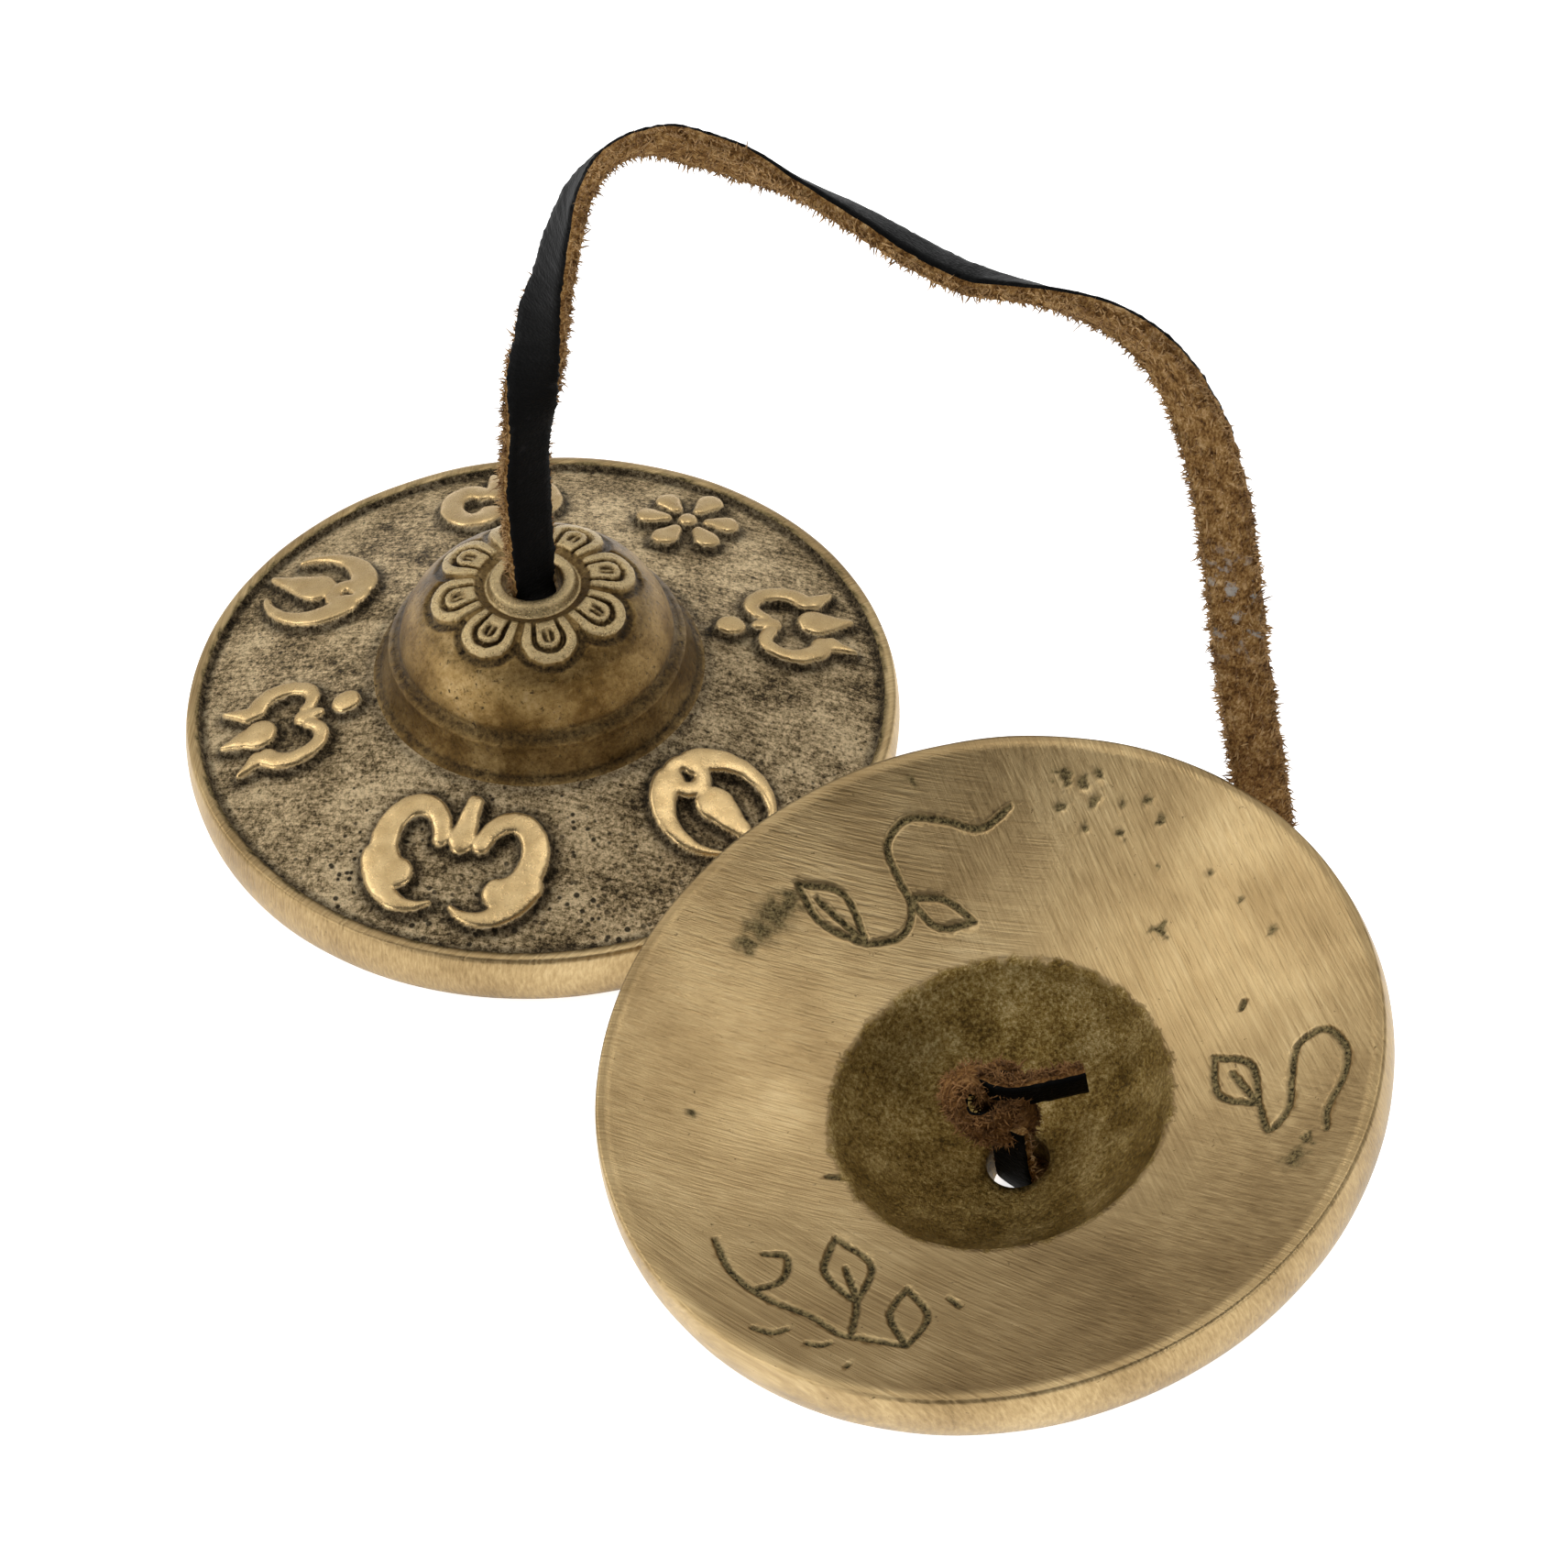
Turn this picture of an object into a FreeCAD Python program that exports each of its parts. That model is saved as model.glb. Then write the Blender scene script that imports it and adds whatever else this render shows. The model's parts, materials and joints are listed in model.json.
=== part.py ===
"""Pair of tingsha, the small thick hand cymbals of Tibetan practice, joined by one leather thong.

Millimetres, +Z up.  Cymbal A lies on its rim with its boss up.  Cymbal B lies beside it on the tip
of its boss, hollow up, leaning because the thong passes under one side of its collar.  The thong
stands up out of boss A, arches over and comes down behind B, where it folds up into boss B.  A knot
inside each boss keeps it there.  The origin is the centre of the pair's box, on the floor.
"""
import FreeCAD, Part
import math
import os

from FreeCAD import Vector

# ---- the casting, the same for both cymbals; heights are measured from the plane of its rim ----
WIDEST_R = 32.5          # 65 mm across, at the swell of the side wall
WIDEST_H = 4.0
RIM_OUTER_R = 32.15      # the flat ground rim that the cymbal rests on
RIM_INNER_R = 31.45
LIP_OUTER_R = 32.25      # narrow bright lip round the outer face
LIP_INNER_R = 31.25
LIP_H = 5.05
LIP_CROWN = 0.12
GROOVE_R = 30.95         # shallow groove inside the lip
GROOVE_H = 4.6
FLANGE_TOP_R = 15.0      # the flange climbs gently from the groove to the foot of the boss
FLANGE_TOP_H = 8.9
STEP_FOOT_R = 14.35      # coved base ring of the boss
STEP_TOP_R = 13.4
STEP_TOP_H = 12.3
DOME_R = 12.4            # dome of the boss
DOME_FOOT_H = 12.75
DOME_SHOULDER_R = 10.3
DOME_SHOULDER_H = 17.2
DOME_TOP_R = 4.9
DOME_TOP_H = 19.3
COLLAR_R = 3.87          # raised collar round the hole
BOSS_TOP_H = 20.0
HOLE_R = 2.7
DISH_MIDDLE_R = 23.0     # turned inner face, from the rim down to the boss cavity
DISH_MIDDLE_H = 3.95
CAVITY_R = 14.1          # hemispherical cavity inside the boss
CAVITY_EDGE_H = 7.2
CAVITY_MIDDLE_R = 11.2   # radius at this share of the cavity's height
CAVITY_MIDDLE_SHARE = 0.46
CAVITY_TOP_H = 16.0

# ---- ornament in relief on the outer face ----
RELIEF_HEIGHT = 0.8
PRISM_H = 12.0           # tall enough to pass right through the flange before it is cut to its slope
RELIEF_ROOT = 1.5        # how far the relief reaches into the flange, so that the two fuse
# flame scrolls round the flange, each an eye, a sickle over it and a bead, spaced by eye as a hand cuts them
SCROLL_HEADINGS_DEG = (8, 52, 93, 142, 185, 245, 311)
SCROLL_CENTRE_R = 22.7
SCROLL_EYE_R = 1.3
SCROLL_BAND = 1.5
SICKLE_R = 3.2
PETAL_COUNT = 8          # lotus petals round the collar
PETAL_CENTRE_R = 7.1
PETAL_R = 2.0
PETAL_TOP_H = 19.1

# ---- how the pair lies ----
B_TIP_FROM_A = Vector(37.0, -58.0, 0.0)   # tip of boss B, seen from the axis of A
B_LEAN_DEG = 12.1                         # the thong under the collar tips B by this much
B_LEAN_HEADING_DEG = 22.0                 # boss B points down and towards this heading

# ---- the thong: flat leather 4.5 mm wide and 1.6 mm thick, drawn as a round cord of equal section ----
THONG_W = 4.5
THONG_T = 1.6
THONG_D = 3.0
SQUASHED_T = 0.8         # where cymbal B stands on it
FOLD_R = 1.6             # the fold under the collar, as tight as leather folds
FLOOR_GAP = 0.05
KNOT_R = 4.6
KNOT_H = 6.0
KNOT_ROUND = 2.6
KNOT_SLACK = 4.0         # loose thong between each knot and the inside of its boss
TAIL_LENGTH = 6.5
TAIL_ROOT = 1.5          # how far the tail starts inside the knot
TAIL_LEVEL = 0.4         # its height, as a share of the knot's
B_THONG_HEADING_DEG = 44.4   # the thong leaves collar B along the floor in this direction
FOLD_REACH = 6.0             # flat tab under cymbal B, from the axis of its hole to the flex axis


def heading(degrees):
    """Level unit vector at this angle from +X."""
    return Vector(math.cos(math.radians(degrees)), math.sin(math.radians(degrees)), 0)


# axis of cymbal B, from its rim to the tip of its boss
B_AXIS = (heading(B_LEAN_HEADING_DEG) * math.sin(math.radians(B_LEAN_DEG))
          - Vector(0, 0, math.cos(math.radians(B_LEAN_DEG))))
# the low edge of collar B touches the floor, which sets the height of its tip
B_TIP = B_TIP_FROM_A + Vector(0, 0, COLLAR_R * math.sin(math.radians(B_LEAN_DEG)))
B_RIM_CENTRE = B_TIP - B_AXIS * BOSS_TOP_H


def pair_centre():
    """Middle of the box round both cymbals, on the floor, seen from the axis of cymbal A."""
    swell = B_RIM_CENTRE + B_AXIS * WIDEST_H
    right = swell.x + WIDEST_R * math.sqrt(1 - B_AXIS.x ** 2)
    front = swell.y - WIDEST_R * math.sqrt(1 - B_AXIS.y ** 2)
    return Vector((right - WIDEST_R) / 2, (front + WIDEST_R) / 2, 0)


A_CENTRE = pair_centre() * -1.0
B_TIP = B_TIP + A_CENTRE
B_RIM_CENTRE = B_RIM_CENTRE + A_CENTRE
A_COLLAR = A_CENTRE + Vector(0, 0, BOSS_TOP_H)

# the thong's route, chosen by hand in the frame of the part: up from collar A and over, then down behind B
ROUTE_A = [
    (-16.6, 29.6, 21.6), (-16.6, 29.6, 33.0), (-15.0, 28.7, 46.0), (-12.4, 27.1, 59.5), (-9.8, 25.6, 69.8),
    (-5.3, 23.1, 75.6), (1.6, 19.2, 76.0), (9.0, 14.9, 73.4),
]
ROUTE_B = [
    (11.8, 13.3, 72.2), (19.0, 9.2, 68.3), (25.5, 5.5, 69.4), (32.0, 1.8, 69.0), (36.5, -0.8, 63.5),
    (39.0, -2.2, 54.0), (40.4, -3.1, 43.5), (41.5, -4.0, 32.0), (43.3, -4.5, 20.5), (44.4, -3.9, 11.8),
    (42.3, -6.2, 4.4), (36.0, -13.1, 1.6), (26.4, -22.5, 1.6),
]


def segment(start, end):
    return Part.LineSegment(start, end).toShape()


def arc(start, middle, end):
    return Part.Arc(start, middle, end).toShape()


def at(radius, height):
    """Point of the casting's half section."""
    return Vector(radius, 0, height)


def collar_section():
    """Edges from the top of the dome over the collar and down the hole."""
    soft, bulge = 0.3, 0.1      # the collar's edges are rounded this much
    return [
        segment(at(DOME_TOP_R, DOME_TOP_H), at(COLLAR_R + soft, DOME_TOP_H - 0.25)),
        segment(at(COLLAR_R + soft, DOME_TOP_H - 0.25), at(COLLAR_R, BOSS_TOP_H - soft)),
        arc(at(COLLAR_R, BOSS_TOP_H - soft), at(COLLAR_R - bulge, BOSS_TOP_H - bulge), at(COLLAR_R - soft, BOSS_TOP_H)),
        segment(at(COLLAR_R - soft, BOSS_TOP_H), at(HOLE_R + soft, BOSS_TOP_H)),
        arc(at(HOLE_R + soft, BOSS_TOP_H), at(HOLE_R + bulge, BOSS_TOP_H - bulge), at(HOLE_R, BOSS_TOP_H - soft)),
        segment(at(HOLE_R, BOSS_TOP_H - soft), at(HOLE_R, CAVITY_TOP_H + 0.05)),
    ]


def casting():
    """One bronze cymbal, turned about its axis, standing on its rim with the boss up."""
    lip_middle = (LIP_OUTER_R + LIP_INNER_R) / 2
    cavity_middle_h = CAVITY_EDGE_H + (CAVITY_TOP_H - CAVITY_EDGE_H) * CAVITY_MIDDLE_SHARE
    step_foot = at(STEP_FOOT_R, FLANGE_TOP_H + 0.4)
    edges = [
        segment(at(RIM_INNER_R, 0), at(RIM_OUTER_R, 0)),
        arc(at(RIM_OUTER_R, 0), at(WIDEST_R, WIDEST_H), at(LIP_OUTER_R, LIP_H)),
        arc(at(LIP_OUTER_R, LIP_H), at(lip_middle, LIP_H + LIP_CROWN), at(LIP_INNER_R, LIP_H)),
        segment(at(LIP_INNER_R, LIP_H), at(GROOVE_R, GROOVE_H)),
        segment(at(GROOVE_R, GROOVE_H), at(FLANGE_TOP_R, FLANGE_TOP_H)),
        segment(at(FLANGE_TOP_R, FLANGE_TOP_H), step_foot),
        arc(step_foot, at(STEP_TOP_R + 0.2, STEP_TOP_H - 1.3), at(STEP_TOP_R, STEP_TOP_H)),
        segment(at(STEP_TOP_R, STEP_TOP_H), at(DOME_R, DOME_FOOT_H)),
        arc(at(DOME_R, DOME_FOOT_H), at(DOME_SHOULDER_R, DOME_SHOULDER_H), at(DOME_TOP_R, DOME_TOP_H)),
    ]
    edges += collar_section()
    edges += [
        arc(at(HOLE_R, CAVITY_TOP_H + 0.05), at(CAVITY_MIDDLE_R, cavity_middle_h), at(CAVITY_R, CAVITY_EDGE_H)),
        arc(at(CAVITY_R, CAVITY_EDGE_H), at(DISH_MIDDLE_R, DISH_MIDDLE_H), at(RIM_INNER_R, 0)),
    ]
    section = Part.Face(Part.Wire(edges))
    return section.revolve(Vector(0, 0, 0), Vector(0, 0, 1), 360)


def raised_flange():
    """The flange's own solid, thicker by the height of the relief: what stands out of it is ornament."""
    edges = Part.makePolygon([
        at(FLANGE_TOP_R, FLANGE_TOP_H - RELIEF_ROOT), at(GROOVE_R, GROOVE_H - RELIEF_ROOT),
        at(GROOVE_R, GROOVE_H + RELIEF_HEIGHT), at(FLANGE_TOP_R, FLANGE_TOP_H + RELIEF_HEIGHT),
        at(FLANGE_TOP_R, FLANGE_TOP_H - RELIEF_ROOT),
    ])
    return Part.Face(edges).revolve(Vector(0, 0, 0), Vector(0, 0, 1), 360)


def half_ring(centre, outer, inner, start_deg):
    """Half a flat ring in plan, as a tall prism, opening at start_deg."""
    ring = Part.makeCylinder(outer, PRISM_H, centre, Vector(0, 0, 1), 180)
    ring = ring.cut(Part.makeCylinder(inner, PRISM_H, centre))
    ring.rotate(centre, Vector(0, 0, 1), start_deg)
    return ring


def scroll(turn_deg):
    """A flame scroll in plan, as a tall prism: a round eye, a sickle beside it and a bead in the sickle."""
    eye = Vector(SCROLL_CENTRE_R, -SCROLL_EYE_R - SCROLL_BAND, 0)
    sickle = Vector(SCROLL_CENTRE_R - 0.8, SICKLE_R, 0)
    outer = SCROLL_EYE_R + SCROLL_BAND
    ring = Part.makeCylinder(outer, PRISM_H, eye).cut(Part.makeCylinder(SCROLL_EYE_R, PRISM_H, eye))
    plan = ring.fuse(half_ring(sickle, SICKLE_R + SCROLL_BAND, SICKLE_R, -50))
    plan = plan.fuse(Part.makeCylinder(SCROLL_BAND, PRISM_H, sickle))
    plan.rotate(Vector(0, 0, 0), Vector(0, 0, 1), turn_deg)
    return plan


def flange_relief():
    """Scrolls round the flange, cut to the slope of the flange."""
    band = raised_flange()
    return [scroll(turn_deg).common(band) for turn_deg in SCROLL_HEADINGS_DEG]


def petals():
    """Lotus petals round the collar: low beads that stand a little out of the dome."""
    pieces = []
    height = PETAL_TOP_H - PETAL_R
    for number in range(PETAL_COUNT):
        centre = heading(number * 360 / PETAL_COUNT) * PETAL_CENTRE_R + Vector(0, 0, height)
        pieces.append(Part.makeSphere(PETAL_R, centre))
    return pieces


def cymbal():
    """The casting with its relief, boss up, standing on the origin."""
    shape = casting()
    for piece in flange_relief() + petals():
        shape = shape.fuse(piece)
    return shape.removeSplitter()


def laid_down(shape):
    """Turns a boss-up shape into cymbal B's place: boss down, leaning, with its tip by the floor."""
    up = Vector(0, 0, 1)
    moved = shape.copy()
    turn = FreeCAD.Rotation(up, B_AXIS)
    moved.Placement = FreeCAD.Placement(B_RIM_CENTRE, turn)
    return moved


def bent_wire(name, points):
    """Straight runs joined by tangent arcs, each as large as its two runs allow."""
    points = [Vector(*point) for point in points]
    edges = []
    length = 0.0
    previous = points[0]
    for before, corner, after in zip(points, points[1:], points[2:]):
        back, ahead = before - corner, after - corner
        half_turn = (math.pi - back.getAngle(ahead)) / 2
        tangent = 0.45 * min(back.Length, ahead.Length)
        radius = tangent / math.tan(half_turn)
        back.normalize()
        ahead.normalize()
        start, end = corner + back * tangent, corner + ahead * tangent
        inward = back + ahead
        inward.normalize()
        middle = corner + inward * (radius / math.cos(half_turn) - radius)
        edges += [segment(previous, start), arc(start, middle, end)]
        length += (start - previous).Length + radius * 2 * half_turn
        print(f"{name}: radius {radius:.1f} mm, turn {math.degrees(2 * half_turn):.0f} degrees")
        previous = end
    edges.append(segment(previous, points[-1]))
    length += (points[-1] - previous).Length
    return Part.Wire(edges), length


def tube(name, points):
    """A round cord along the route."""
    wire, length = bent_wire(name, points)
    start = Vector(*points[0])
    along = Vector(*points[1]) - start
    section = Part.Wire(Part.makeCircle(THONG_D / 2, start, along))
    shape = wire.makePipeShell([section], True, False)
    expected = math.pi * THONG_D ** 2 / 4 * length
    print(f"{name}: {length:.1f} mm long, volume {shape.Volume:.1f} of {expected:.1f} mm3")
    return shape


def knot(base, up, tail_heading):
    """A tight overhand knot of the thong, with its cut tail; base is the middle of its underside."""
    body = Part.makeCylinder(KNOT_R, KNOT_H, base, up)
    body = body.makeFillet(KNOT_ROUND, [edge for edge in body.Edges if edge.Length > 6 * KNOT_R - 1])
    side = tail_heading - up * tail_heading.dot(up)
    side.normalize()
    across = up.cross(side)
    start = base + side * (KNOT_R - TAIL_ROOT) + up * (KNOT_H * TAIL_LEVEL)
    tail = Part.makeBox(TAIL_LENGTH, THONG_W, THONG_T)
    place = FreeCAD.Matrix(side.x, across.x, up.x, start.x - across.x * THONG_W / 2,
                           side.y, across.y, up.y, start.y - across.y * THONG_W / 2,
                           side.z, across.z, up.z, start.z - across.z * THONG_W / 2, 0, 0, 0, 1)
    tail.Placement = FreeCAD.Placement(place)
    return body.fuse(tail).removeSplitter()


def flat_strap(along, across, start, length, thickness):
    """Straight stretch of flat leather from start, centred on its line."""
    corner = start - across * (THONG_W / 2) - along.cross(across) * (thickness / 2)
    strap = Part.makeBox(length, THONG_W, thickness)
    face = along.cross(across)
    place = FreeCAD.Matrix(along.x, across.x, face.x, corner.x, along.y, across.y, face.y, corner.y,
                           along.z, across.z, face.z, corner.z, 0, 0, 0, 1)
    strap.Placement = FreeCAD.Placement(place)
    return strap


def knot_a():
    """Knot inside boss A, with the flat thong that goes up through the hole to the collar's mouth."""
    top = CAVITY_TOP_H - KNOT_SLACK
    up = Vector(0, 0, 1)
    strap = flat_strap(up, Vector(1, 0, 0), A_CENTRE + up * (top - 1), BOSS_TOP_H - top + 1, THONG_T)
    return knot(A_CENTRE + up * (top - KNOT_H), up, Vector(0, 1, 0)).fuse(strap).removeSplitter()


def knot_b():
    """Knot inside boss B, with the thong down through the hole and its fold to a flat tab on the floor."""
    out = heading(B_THONG_HEADING_DEG)
    across = Vector(0, 0, 1).cross(out)
    floor_line = FLOOR_GAP + SQUASHED_T / 2
    # the thong's stretch in the hole lies in the upright plane of the tab, nearly along the axis of B
    down = B_AXIS - across * B_AXIS.dot(across)
    down.normalize()
    corner = B_TIP + down * ((B_TIP.z - floor_line) / -down.z)
    half_turn = down.getAngle(out) / 2
    tangent = FOLD_R * math.tan(half_turn)
    start, end = corner - down * tangent, corner + out * tangent
    inward = out - down
    inward.normalize()
    middle = corner + inward * (FOLD_R / math.cos(half_turn) - FOLD_R)
    knot_base = B_TIP - B_AXIS * (BOSS_TOP_H - CAVITY_TOP_H + KNOT_SLACK)
    rise = (knot_base - start).Length + 1
    path = Part.Wire([segment(start - down * rise, start), arc(start, middle, end),
                      segment(end, corner + out * FOLD_REACH)])
    face = down.cross(across)
    corners = [across * (i * THONG_W / 2) + face * (j * SQUASHED_T / 2)
               for i, j in ((-1, -1), (1, -1), (1, 1), (-1, 1), (-1, -1))]
    section = Part.makePolygon([start - down * rise + point for point in corners])
    strap = path.makePipeShell([section], True, False)
    print(f"fold under B: radius {FOLD_R} mm, strap volume {strap.Volume:.1f}, valid {strap.isValid()}")
    tied = knot(knot_base, B_AXIS * -1.0, Vector(1, 0.1, 0))
    return tied.fuse(strap).removeSplitter()


def main():
    os.makedirs("parts", exist_ok=True)
    one = cymbal()
    cymbal_a = one.copy()
    cymbal_a.translate(A_CENTRE)
    nodes = {
        "cymbal_a": cymbal_a,
        "cymbal_b": laid_down(one),
        "thong_a": tube("thong_a", ROUTE_A),
        "thong_b": tube("thong_b", ROUTE_B),
        "knot_a": knot_a(),
        "knot_b": knot_b(),
    }
    for name, shape in nodes.items():
        shape.exportStep(f"parts/{name}.step")
        box = shape.BoundBox
        print(f"{name}: solids {len(shape.Solids)}, valid {shape.isValid()}, volume {shape.Volume:.0f} mm3")
        print(f"    x {box.XMin:.2f} to {box.XMax:.2f}, y {box.YMin:.2f} to {box.YMax:.2f}, "
              f"z {box.ZMin:.2f} to {box.ZMax:.2f}")
    print("row frame: axis of A", A_CENTRE, "tip of B", B_TIP, "axis of B", B_AXIS)


main()
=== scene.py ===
"""Looks of the pair of tingsha: two cast bronze cymbals joined by one leather thong.

Lengths in the shape code are millimetres in the frame of the part, and MM turns them into metres.
"""
import json
import math

import bmesh
import bpy
import numpy as np
from mathutils import Matrix, Vector


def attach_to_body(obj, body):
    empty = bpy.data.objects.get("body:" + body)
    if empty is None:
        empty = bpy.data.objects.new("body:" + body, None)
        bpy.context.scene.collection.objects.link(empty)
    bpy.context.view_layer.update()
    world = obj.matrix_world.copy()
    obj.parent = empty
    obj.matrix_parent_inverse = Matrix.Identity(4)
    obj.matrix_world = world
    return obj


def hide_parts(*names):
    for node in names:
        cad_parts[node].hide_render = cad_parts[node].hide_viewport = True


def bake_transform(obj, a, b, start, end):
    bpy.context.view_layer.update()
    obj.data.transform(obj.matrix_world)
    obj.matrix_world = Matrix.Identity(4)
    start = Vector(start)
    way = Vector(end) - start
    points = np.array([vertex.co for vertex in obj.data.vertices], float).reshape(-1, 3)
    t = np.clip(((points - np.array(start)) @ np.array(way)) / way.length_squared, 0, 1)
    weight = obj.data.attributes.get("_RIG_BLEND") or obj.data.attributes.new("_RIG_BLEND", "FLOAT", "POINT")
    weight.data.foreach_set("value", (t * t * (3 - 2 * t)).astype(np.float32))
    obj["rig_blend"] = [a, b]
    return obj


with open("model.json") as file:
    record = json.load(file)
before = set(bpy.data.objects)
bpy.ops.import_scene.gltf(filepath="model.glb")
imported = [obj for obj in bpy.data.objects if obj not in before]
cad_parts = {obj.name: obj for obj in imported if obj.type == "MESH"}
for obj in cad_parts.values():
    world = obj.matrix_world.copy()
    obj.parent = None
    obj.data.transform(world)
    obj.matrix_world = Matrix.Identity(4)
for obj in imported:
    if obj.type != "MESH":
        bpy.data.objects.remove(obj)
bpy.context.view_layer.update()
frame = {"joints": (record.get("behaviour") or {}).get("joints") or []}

MM = 0.001

# ---- how the pair lies ----
A_CENTRE = Vector((-16.635, 29.578, 0.0))            # rim centre of cymbal A, on the floor
B_TIP = Vector((20.365, -28.422, 0.811))             # tip of boss B
B_AXIS = Vector((0.194355, 0.078524, -0.977783))     # from the rim of B to the tip of its boss
BOSS_TOP_H = 20.0
MOUTH_H = 16.0      # inner mouth of the hole, where the knot sits

# ---- a casting's half section: down the inside, out to the rim and back over the outside ----
HOLE, CAVITY, DISH, RIM, SIDE, LIP, GROOVE, FLANGE, BASE, DOME, NECK, COLLAR = range(12)
COARSE, EVEN, FINE = 108, 216, 432   # columns round
SECTION = [  # zone, columns round, rows, points: two for a line, three for an arc
    (HOLE, COARSE, 5, [(2.7, 19.7), (2.7, 16.05)]),
    (CAVITY, EVEN, 20, [(2.7, 16.05), (11.2, 11.25), (14.1, 7.2)]),
    (DISH, FINE, 34, [(14.1, 7.2), (23.0, 3.95), (31.45, 0.0)]),
    (RIM, EVEN, 3, [(31.45, 0.0), (32.15, 0.0)]),
    (SIDE, EVEN, 10, [(32.15, 0.0), (32.5, 4.0), (32.25, 5.05)]),
    (LIP, EVEN, 4, [(32.25, 5.05), (31.75, 5.17), (31.25, 5.05)]),
    (GROOVE, EVEN, 3, [(31.25, 5.05), (30.95, 4.6)]),
    (FLANGE, FINE, 42, [(30.95, 4.6), (15.0, 8.9)]),
    (BASE, EVEN, 2, [(15.0, 8.9), (14.35, 9.3)]),
    (BASE, EVEN, 8, [(14.35, 9.3), (13.6, 11.0), (13.4, 12.3)]),
    (BASE, EVEN, 2, [(13.4, 12.3), (12.4, 12.75)]),
    (DOME, EVEN, 30, [(12.4, 12.75), (10.3, 17.2), (4.9, 19.3)]),
    (NECK, EVEN, 3, [(4.9, 19.3), (4.17, 19.05)]),
    (COLLAR, COARSE, 3, [(4.17, 19.05), (3.87, 19.7)]),
    (COLLAR, COARSE, 3, [(3.87, 19.7), (3.77, 19.9), (3.57, 20.0)]),
    (COLLAR, COARSE, 2, [(3.57, 20.0), (3.0, 20.0)]),
    (COLLAR, COARSE, 3, [(3.0, 20.0), (2.8, 19.9), (2.7, 19.7)]),
]

# ---- ornament ----
RELIEF_H = 0.95     # the ornament stands this proud of the flange
# heading, middle radius, half size round the flange and along its slope, motif
SCROLLS = [
    (11, 23.2, 4.6, 6.6, "bud"), (53, 24.7, 4.3, 5.2, "blossom"), (95.5, 24.8, 5.4, 4.6, "cloud"),
    (144, 24.4, 5.4, 5.6, "flame"), (188, 23.0, 4.6, 6.7, "bud"), (248, 22.9, 7.8, 6.4, "wide"),
    (309.5, 22.6, 5.8, 5.8, "flame"),
]
PETAL_COUNT = 8
PETAL_TURN = math.radians(8.5)
PETAL_H = 0.30
ENGRAVE_R = 0.31    # half width of a cut line
ENGRAVE_DEPTH = 0.22
PIT_DEPTH = 0.12
SOFT_FROM = 0.95    # dark spots larger than this are soft stains, smaller ones are pits
CAVITY_EDGE_R = 14.15
LIP_POLISH_R = 31.52     # the lip is rubbed bright outside this radius
ENGRAVED = [  # strokes cut by hand into the turned face, as points in mm from the axis
    # a vine with two leaves
    [(-5.4, 26.0), (-2.6, 24.9), (0.4, 26.2), (3.4, 26.8), (5.4, 25.0), (5.0, 22.2), (4.4, 19.8),
     (5.6, 17.6), (8.6, 17.2)],
    [(13.4, 22.8), (12.0, 19.4), (8.6, 17.2)],
    [(13.4, 22.8), (9.8, 21.6), (8.6, 17.2)],
    [(12.0, 21.4), (8.6, 17.2)],
    [(4.5, 20.6), (1.6, 19.9), (-0.6, 17.6)],
    [(4.5, 20.6), (2.6, 17.8), (-0.6, 17.6)],
    # a vine with one leaf
    [(-25.4, -13.0), (-25.8, -11.0), (-27.6, -8.6), (-28.3, -6.0), (-27.0, -3.2), (-24.6, -3.6),
     (-23.6, -6.2), (-22.8, -9.2), (-20.9, -10.4), (-20.6, -7.4)],
    [(-17.8, -1.0), (-20.6, -3.2), (-20.6, -7.4)],
    [(-17.8, -1.0), (-17.6, -4.8), (-20.6, -7.4)],
    [(-19.0, -3.2), (-20.6, -7.4)],
    # a vine with a tendril and two leaves
    [(24.0, -10.6), (22.9, -14.2), (20.4, -17.2), (17.2, -19.4), (15.0, -21.8), (13.1, -22.6),
     (10.0, -24.0)],
    [(21.4, -16.2), (19.2, -15.2), (18.6, -12.6), (20.4, -12.2)],
    [(14.8, -10.6), (15.8, -14.4), (13.6, -18.2)],
    [(14.8, -10.6), (12.2, -14.0), (13.6, -18.2)],
    [(14.2, -14.0), (13.6, -18.2), (14.2, -22.0)],
    [(9.6, -17.0), (11.1, -20.0), (10.0, -24.0)],
    [(9.6, -17.0), (8.2, -20.6), (10.0, -24.0)],
    # nicks
    [(21.6, -20.6), (20.2, -21.2), (19.0, -20.9)],
    [(17.6, -22.6), (16.6, -23.0), (15.8, -22.8)],
    [(14.5, -25.5), (14.7, -25.8)], [(-21.2, 2.9), (-20.8, 2.3)], [(14.8, -4.0), (12.2, -4.3)],
    [(6.4, -18.8), (5.6, -20.0)],
]
SMUDGES = [  # x, y, radius of dark spots on the turned face
    (-10.4, 26.9, 0.9), (-11.8, 26.0, 0.7), (-13.3, 26.2, 0.5), (-9.8, 24.7, 0.6), (-12.6, 24.2, 0.5),
    (-14.6, 23.4, 0.4), (-11.2, 22.4, 0.4), (-14.3, 21.0, 0.6), (-16.8, 23.0, 0.5), (-17.4, 20.6, 0.6),
    (-16.6, 17.4, 0.4), (-15.6, 12.0, 0.7), (-20.5, 15.0, 0.3), (-22.6, 11.5, 0.35), (-24.6, 8.0, 0.3),
    (15.6, 20.4, 1.6), (17.0, 19.2, 1.4), (14.2, 21.4, 1.2), (18.4, 17.9, 1.0), (-22.5, -14.5, 1.2),
    (-23.8, -13.2, 0.8), (2.4, 29.6, 0.5), (24.6, 2.4, 0.4),
]

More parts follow.
